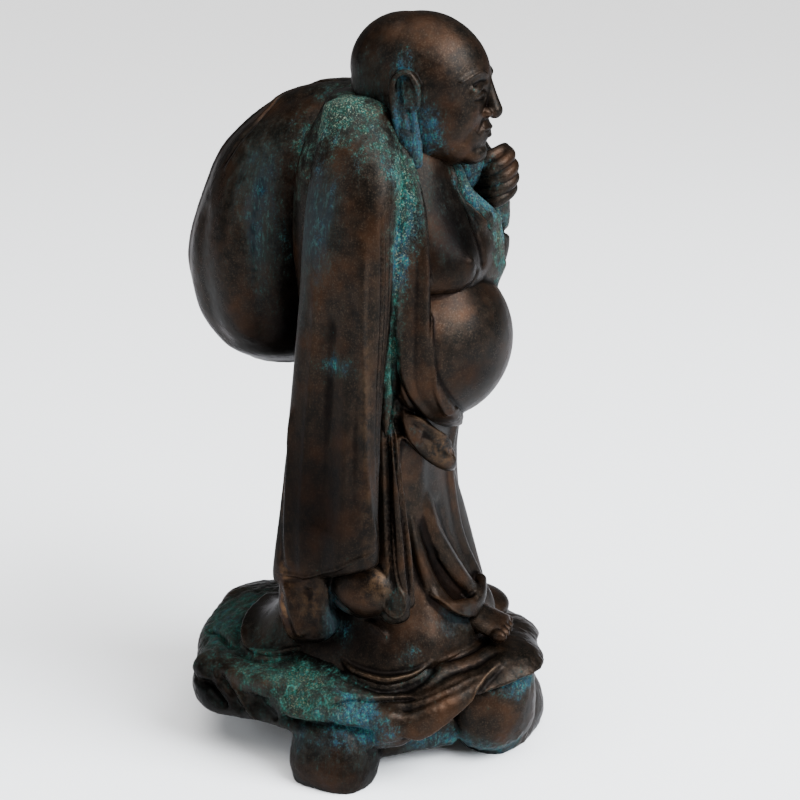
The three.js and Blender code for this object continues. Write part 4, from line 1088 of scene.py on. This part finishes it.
# the rock is in layers: ledges, cracks and a rolled lip like the edge of a leaf
plinth_strokes = [
    # the sheet of rock at the left: its rim, a second ridge and the hollows between them
    (0.45, 0.6, [(-17, 20.1, -3.4), (-22.2, 16.2, -4), (-25.1, 13.1, -5.7), (-25.5, 11.4, -7.2)]),
    (0.7, -1.6, [(-16, 21.6, -4.6), (-21, 18, -5.6), (-24.6, 14.9, -7), (-25, 13, -9)]),
    (0.8, -0.7, [(-22, 14.6, -4.4), (-25, 11.9, -6.5), (-25.4, 9.8, -9)]),
    (0.45, 0.5, [(-23.8, 12.2, -4.1), (-25.2, 10.6, -5.5), (-25.4, 8.6, -8.4), (-25, 7, -10)]),
    (1.4, -1, [(-25.4, 8, -5.5), (-26, 5.6, -7.5), (-25.6, 4, -9.5)]),
    (0.45, -1.1, [(-10.1, 25.9, -3.8), (-12, 22.8, -3), (-15.6, 19, -2.2), (-18, 16, -2)]),
    # the tongue and the dark recess under it
    (0.45, 0.6, [(-23.8, 12.2, -4.1), (-24.1, 7.7, -4.1), (-24.6, 3.7, -4), (-26.1, 1.8, -5.9),
        (-26.4, 0.2, -6.5), (-26.3, -2.1, -5.9), (-25, -5.6, -4.9)]),
    (1.1, -2.2, [(-26.2, 3, -8), (-26.6, 0.7, -8.8), (-26.7, -2.5, -8.2), (-25.6, -6, -7.6),
        (-24.7, -9.2, -8.2), (-22.3, -13.2, -9.4)]),
    # the crack in the front, and the rolled sheet with a channel behind it
    (0.32, -0.8, [(-25, -5.3, -4.6), (-22.6, -8.1, -4), (-21, -10.7, -4.2), (-18.7, -13.6, -4.3),
        (-16.6, -17.2, -4.4)]),
    (0.4, 0.3, [(-21.1, -14.8, -9), (-18.6, -17.9, -9.6), (-17, -20.1, -8.6), (-14.8, -22, -6.6),
        (-13.4, -23, -5.6), (-10.9, -24.1, -3.6), (-7.9, -25.2, -2.4),
        (-3.8, -26.6, -1.4)], {"lip": 0.5, "reach": 1.6}),
    (0.4, 0.25, [(-18.1, -15.8, -5.1), (-16, -18.2, -4.8), (-12.7, -20.9, -3.9), (-10.6, -22.4, -3.2),
        (-7.7, -24.7, -2.6)]),
    (0.8, -0.4, [(-17.5, -14.2, -3.7), (-14.8, -17.2, -3.5), (-11.1, -19.8, -2.8), (-7, -23, -2.2),
        (-2, -25, -1.8)]),
    # a gap runs round under the rims of the cloth
    (0.7, -0.7, np.array(front_rim[:9]) * [1.05, 1.06, 1] - [0, 0, 0.4], {"fade": 0.05}),
    (0.6, -0.5, np.array(toe_rim[:5]) * [1.05, 1.05, 1] - [0, 0, 0.4]),
    (0.7, -0.7, np.array(rear_rim[1:8]) * [1.06, 1.04, 1] - [0, 0, 0.4], {"fade": 0.05}),
    # ledges round the back
    (0.6, -0.4, [(-19, 8, -2), (-16, 12, -2), (-14, 17, -2.6)]),
    (0.5, -0.4, [(-21, 2, -2.8), (-17, 5, -2)]),
    (0.9, -1, [(12, 24, -4.6), (20, 16, -4.6), (24, 6, -5)]),
    (1.2, -1.2, [(-6, 29, -7), (6, 30, -7), (16, 25, -7)]),
    (1.2, -1.2, [(26, 8, -7), (26, -6, -8), (22, -18, -8)]),
]
# crust and film where damp stood on the rock, and painted shade in the recesses under the sheet and the
# tongue, beside the hem and under the slab: centre, radii, strengths
plinth_zones = [
    (-18, 17, -2, 7, 7, 3, 0.2, 0, 0, 0.9),
    (-22, 8, -3, 6, 8, 3.4, 1, 0.5, 0.05),
    (-23, -1, -3, 6, 6, 4, 1, 0.3, 0.05),
    (-25, -1, -6, 3, 5, 2, 0.8, 0.5),
    (-23, -8, -5, 4, 5, 3, 1, 0.3, 0.7),
    (-22, -12, -8, 4, 4, 3, 0.9, 0.3, 0.9),
    (-15, -16, -1, 5, 5, 2, 0.7, 0.2, 0.5, 0.4),
    (-2, -28, -5, 6, 4, 2.6, 1.2, 0.5, 1.1),
    (6, -28, -9, 5, 4, 3, 0, 0, 0.6, 0.6),
    (-6, -22, -15, 10, 6, 2.6, 0.9, 0.8, 0.9),
    (-24, -4, -11, 5, 8, 3, 0.7, 0, 0.9, 0.7),
    (18, -12, -2, 6, 8, 3, 0.5, 0.1, 0.2, 0.6),
    (0, 24, -4, 14, 8, 4, 0.8, 0.3, 0.1, 0.6),
    (-25, 8, -8, 5, 14, 3.4, 0, 0, 0, 0.5, 0.7),
    (-24, 18, -6, 5, 6, 6, 0, 0, 0, 0, 0.6),
    (-13, 22, -3, 9, 6, 3, 0.6, 0.1, 0.3, 0.6),
    (-5, 23, -1, 8, 5, 3, 0.7, 0, 0.2, 0.5),
    (-12, -14, -13, 6, 6, 3, 0.9, 0.2, 0.9, 0.6),
    (-2.4, -24.4, -16, 4, 5, 3, 0.8, 0.2, 0.9, 0.5),
    (-17, -5, -1.6, 4, 3, 1.6, 0, 0, 0, 0, 0.9),
    (-22.6, 4.4, -3.8, 3, 2.4, 1, -0.6, 0, 0, 0, 1.1),
    (-19, 1, -1, 4, 6, 2, 0, 0, 0, 0, 0.8),
    (-22, -8, -15, 8, 10, 4, 0, 0, 0, 0.4, 0.7),
]
plinth_forms = [(grid - [0, 0, PLINTH_TOP / MM]) * MM / SHARE for grid in plinth_forms] + ledges
plinth = cast_in_one("plinth", plinth_forms, voxel=0.7 * MM, soften=6)
finish_casting(plinth, 195000, plinth_strokes, plinth_zones, grain=0.1, rough=2.4)
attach(plinth, "root")
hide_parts("budai_figure")


# The floor and the light
# Matt white paper under the statue, and soft light as in a studio: a large lamp in front, a small one behind
# and an even light from above.

# half the side of the paper
FLOOR = 9
floor_mesh = bpy.data.meshes.new("floor")
corners = [(-FLOOR, -FLOOR, 0), (FLOOR, -FLOOR, 0), (FLOOR, FLOOR, 0), (-FLOOR, FLOOR, 0)]
floor_mesh.from_pydata(corners, [], [(0, 1, 2, 3)])
floor = bpy.data.objects.new("floor", floor_mesh)
# matt white paper
white_paper = bpy.data.materials.new("white_paper")
white_paper.use_nodes = True
paper = white_paper.node_tree.nodes["Principled BSDF"].inputs
paper["Base Color"].default_value = (0.95, 0.95, 0.95, 1)
paper["Roughness"].default_value = 1.0
floor_mesh.materials.append(white_paper)
bpy.context.scene.collection.objects.link(floor)


def light(name, kind, energy):
    """A light in the scene."""
    made = bpy.data.objects.new(name, bpy.data.lights.new(name, kind))
    bpy.context.scene.collection.objects.link(made)
    made.data.energy = energy
    return made


LIT_POINT = Vector((0, 0, 0.12))
for name, place, size, power in [
    ("key_light", (-0.15, -1.2, 1.05), 1.1, 92),
    ("side_light", (-1.2, 0.7, 0.7), 0.8, 9),
]:
    lamp = light(name, "AREA", power)
    lamp.data.size = size
    # a little bluer than the rest, as light from a window is
    lamp.data.color = (0.88, 0.94, 1.0)
    lamp.location = place
    lamp.rotation_euler = (LIT_POINT - Vector(place)).to_track_quat("-Z", "Y").to_euler()

ceiling = light("ceiling_light", "SUN", 5.0)
ceiling.data.angle = math.radians(70)
ceiling.rotation_euler = (math.radians(12), math.radians(-10), 0)

world = bpy.data.worlds.new("studio")
world.use_nodes = True
background = world.node_tree.nodes["Background"].inputs
background["Color"].default_value = (1, 1, 1, 1)
background["Strength"].default_value = 0.28
bpy.context.scene.world = world
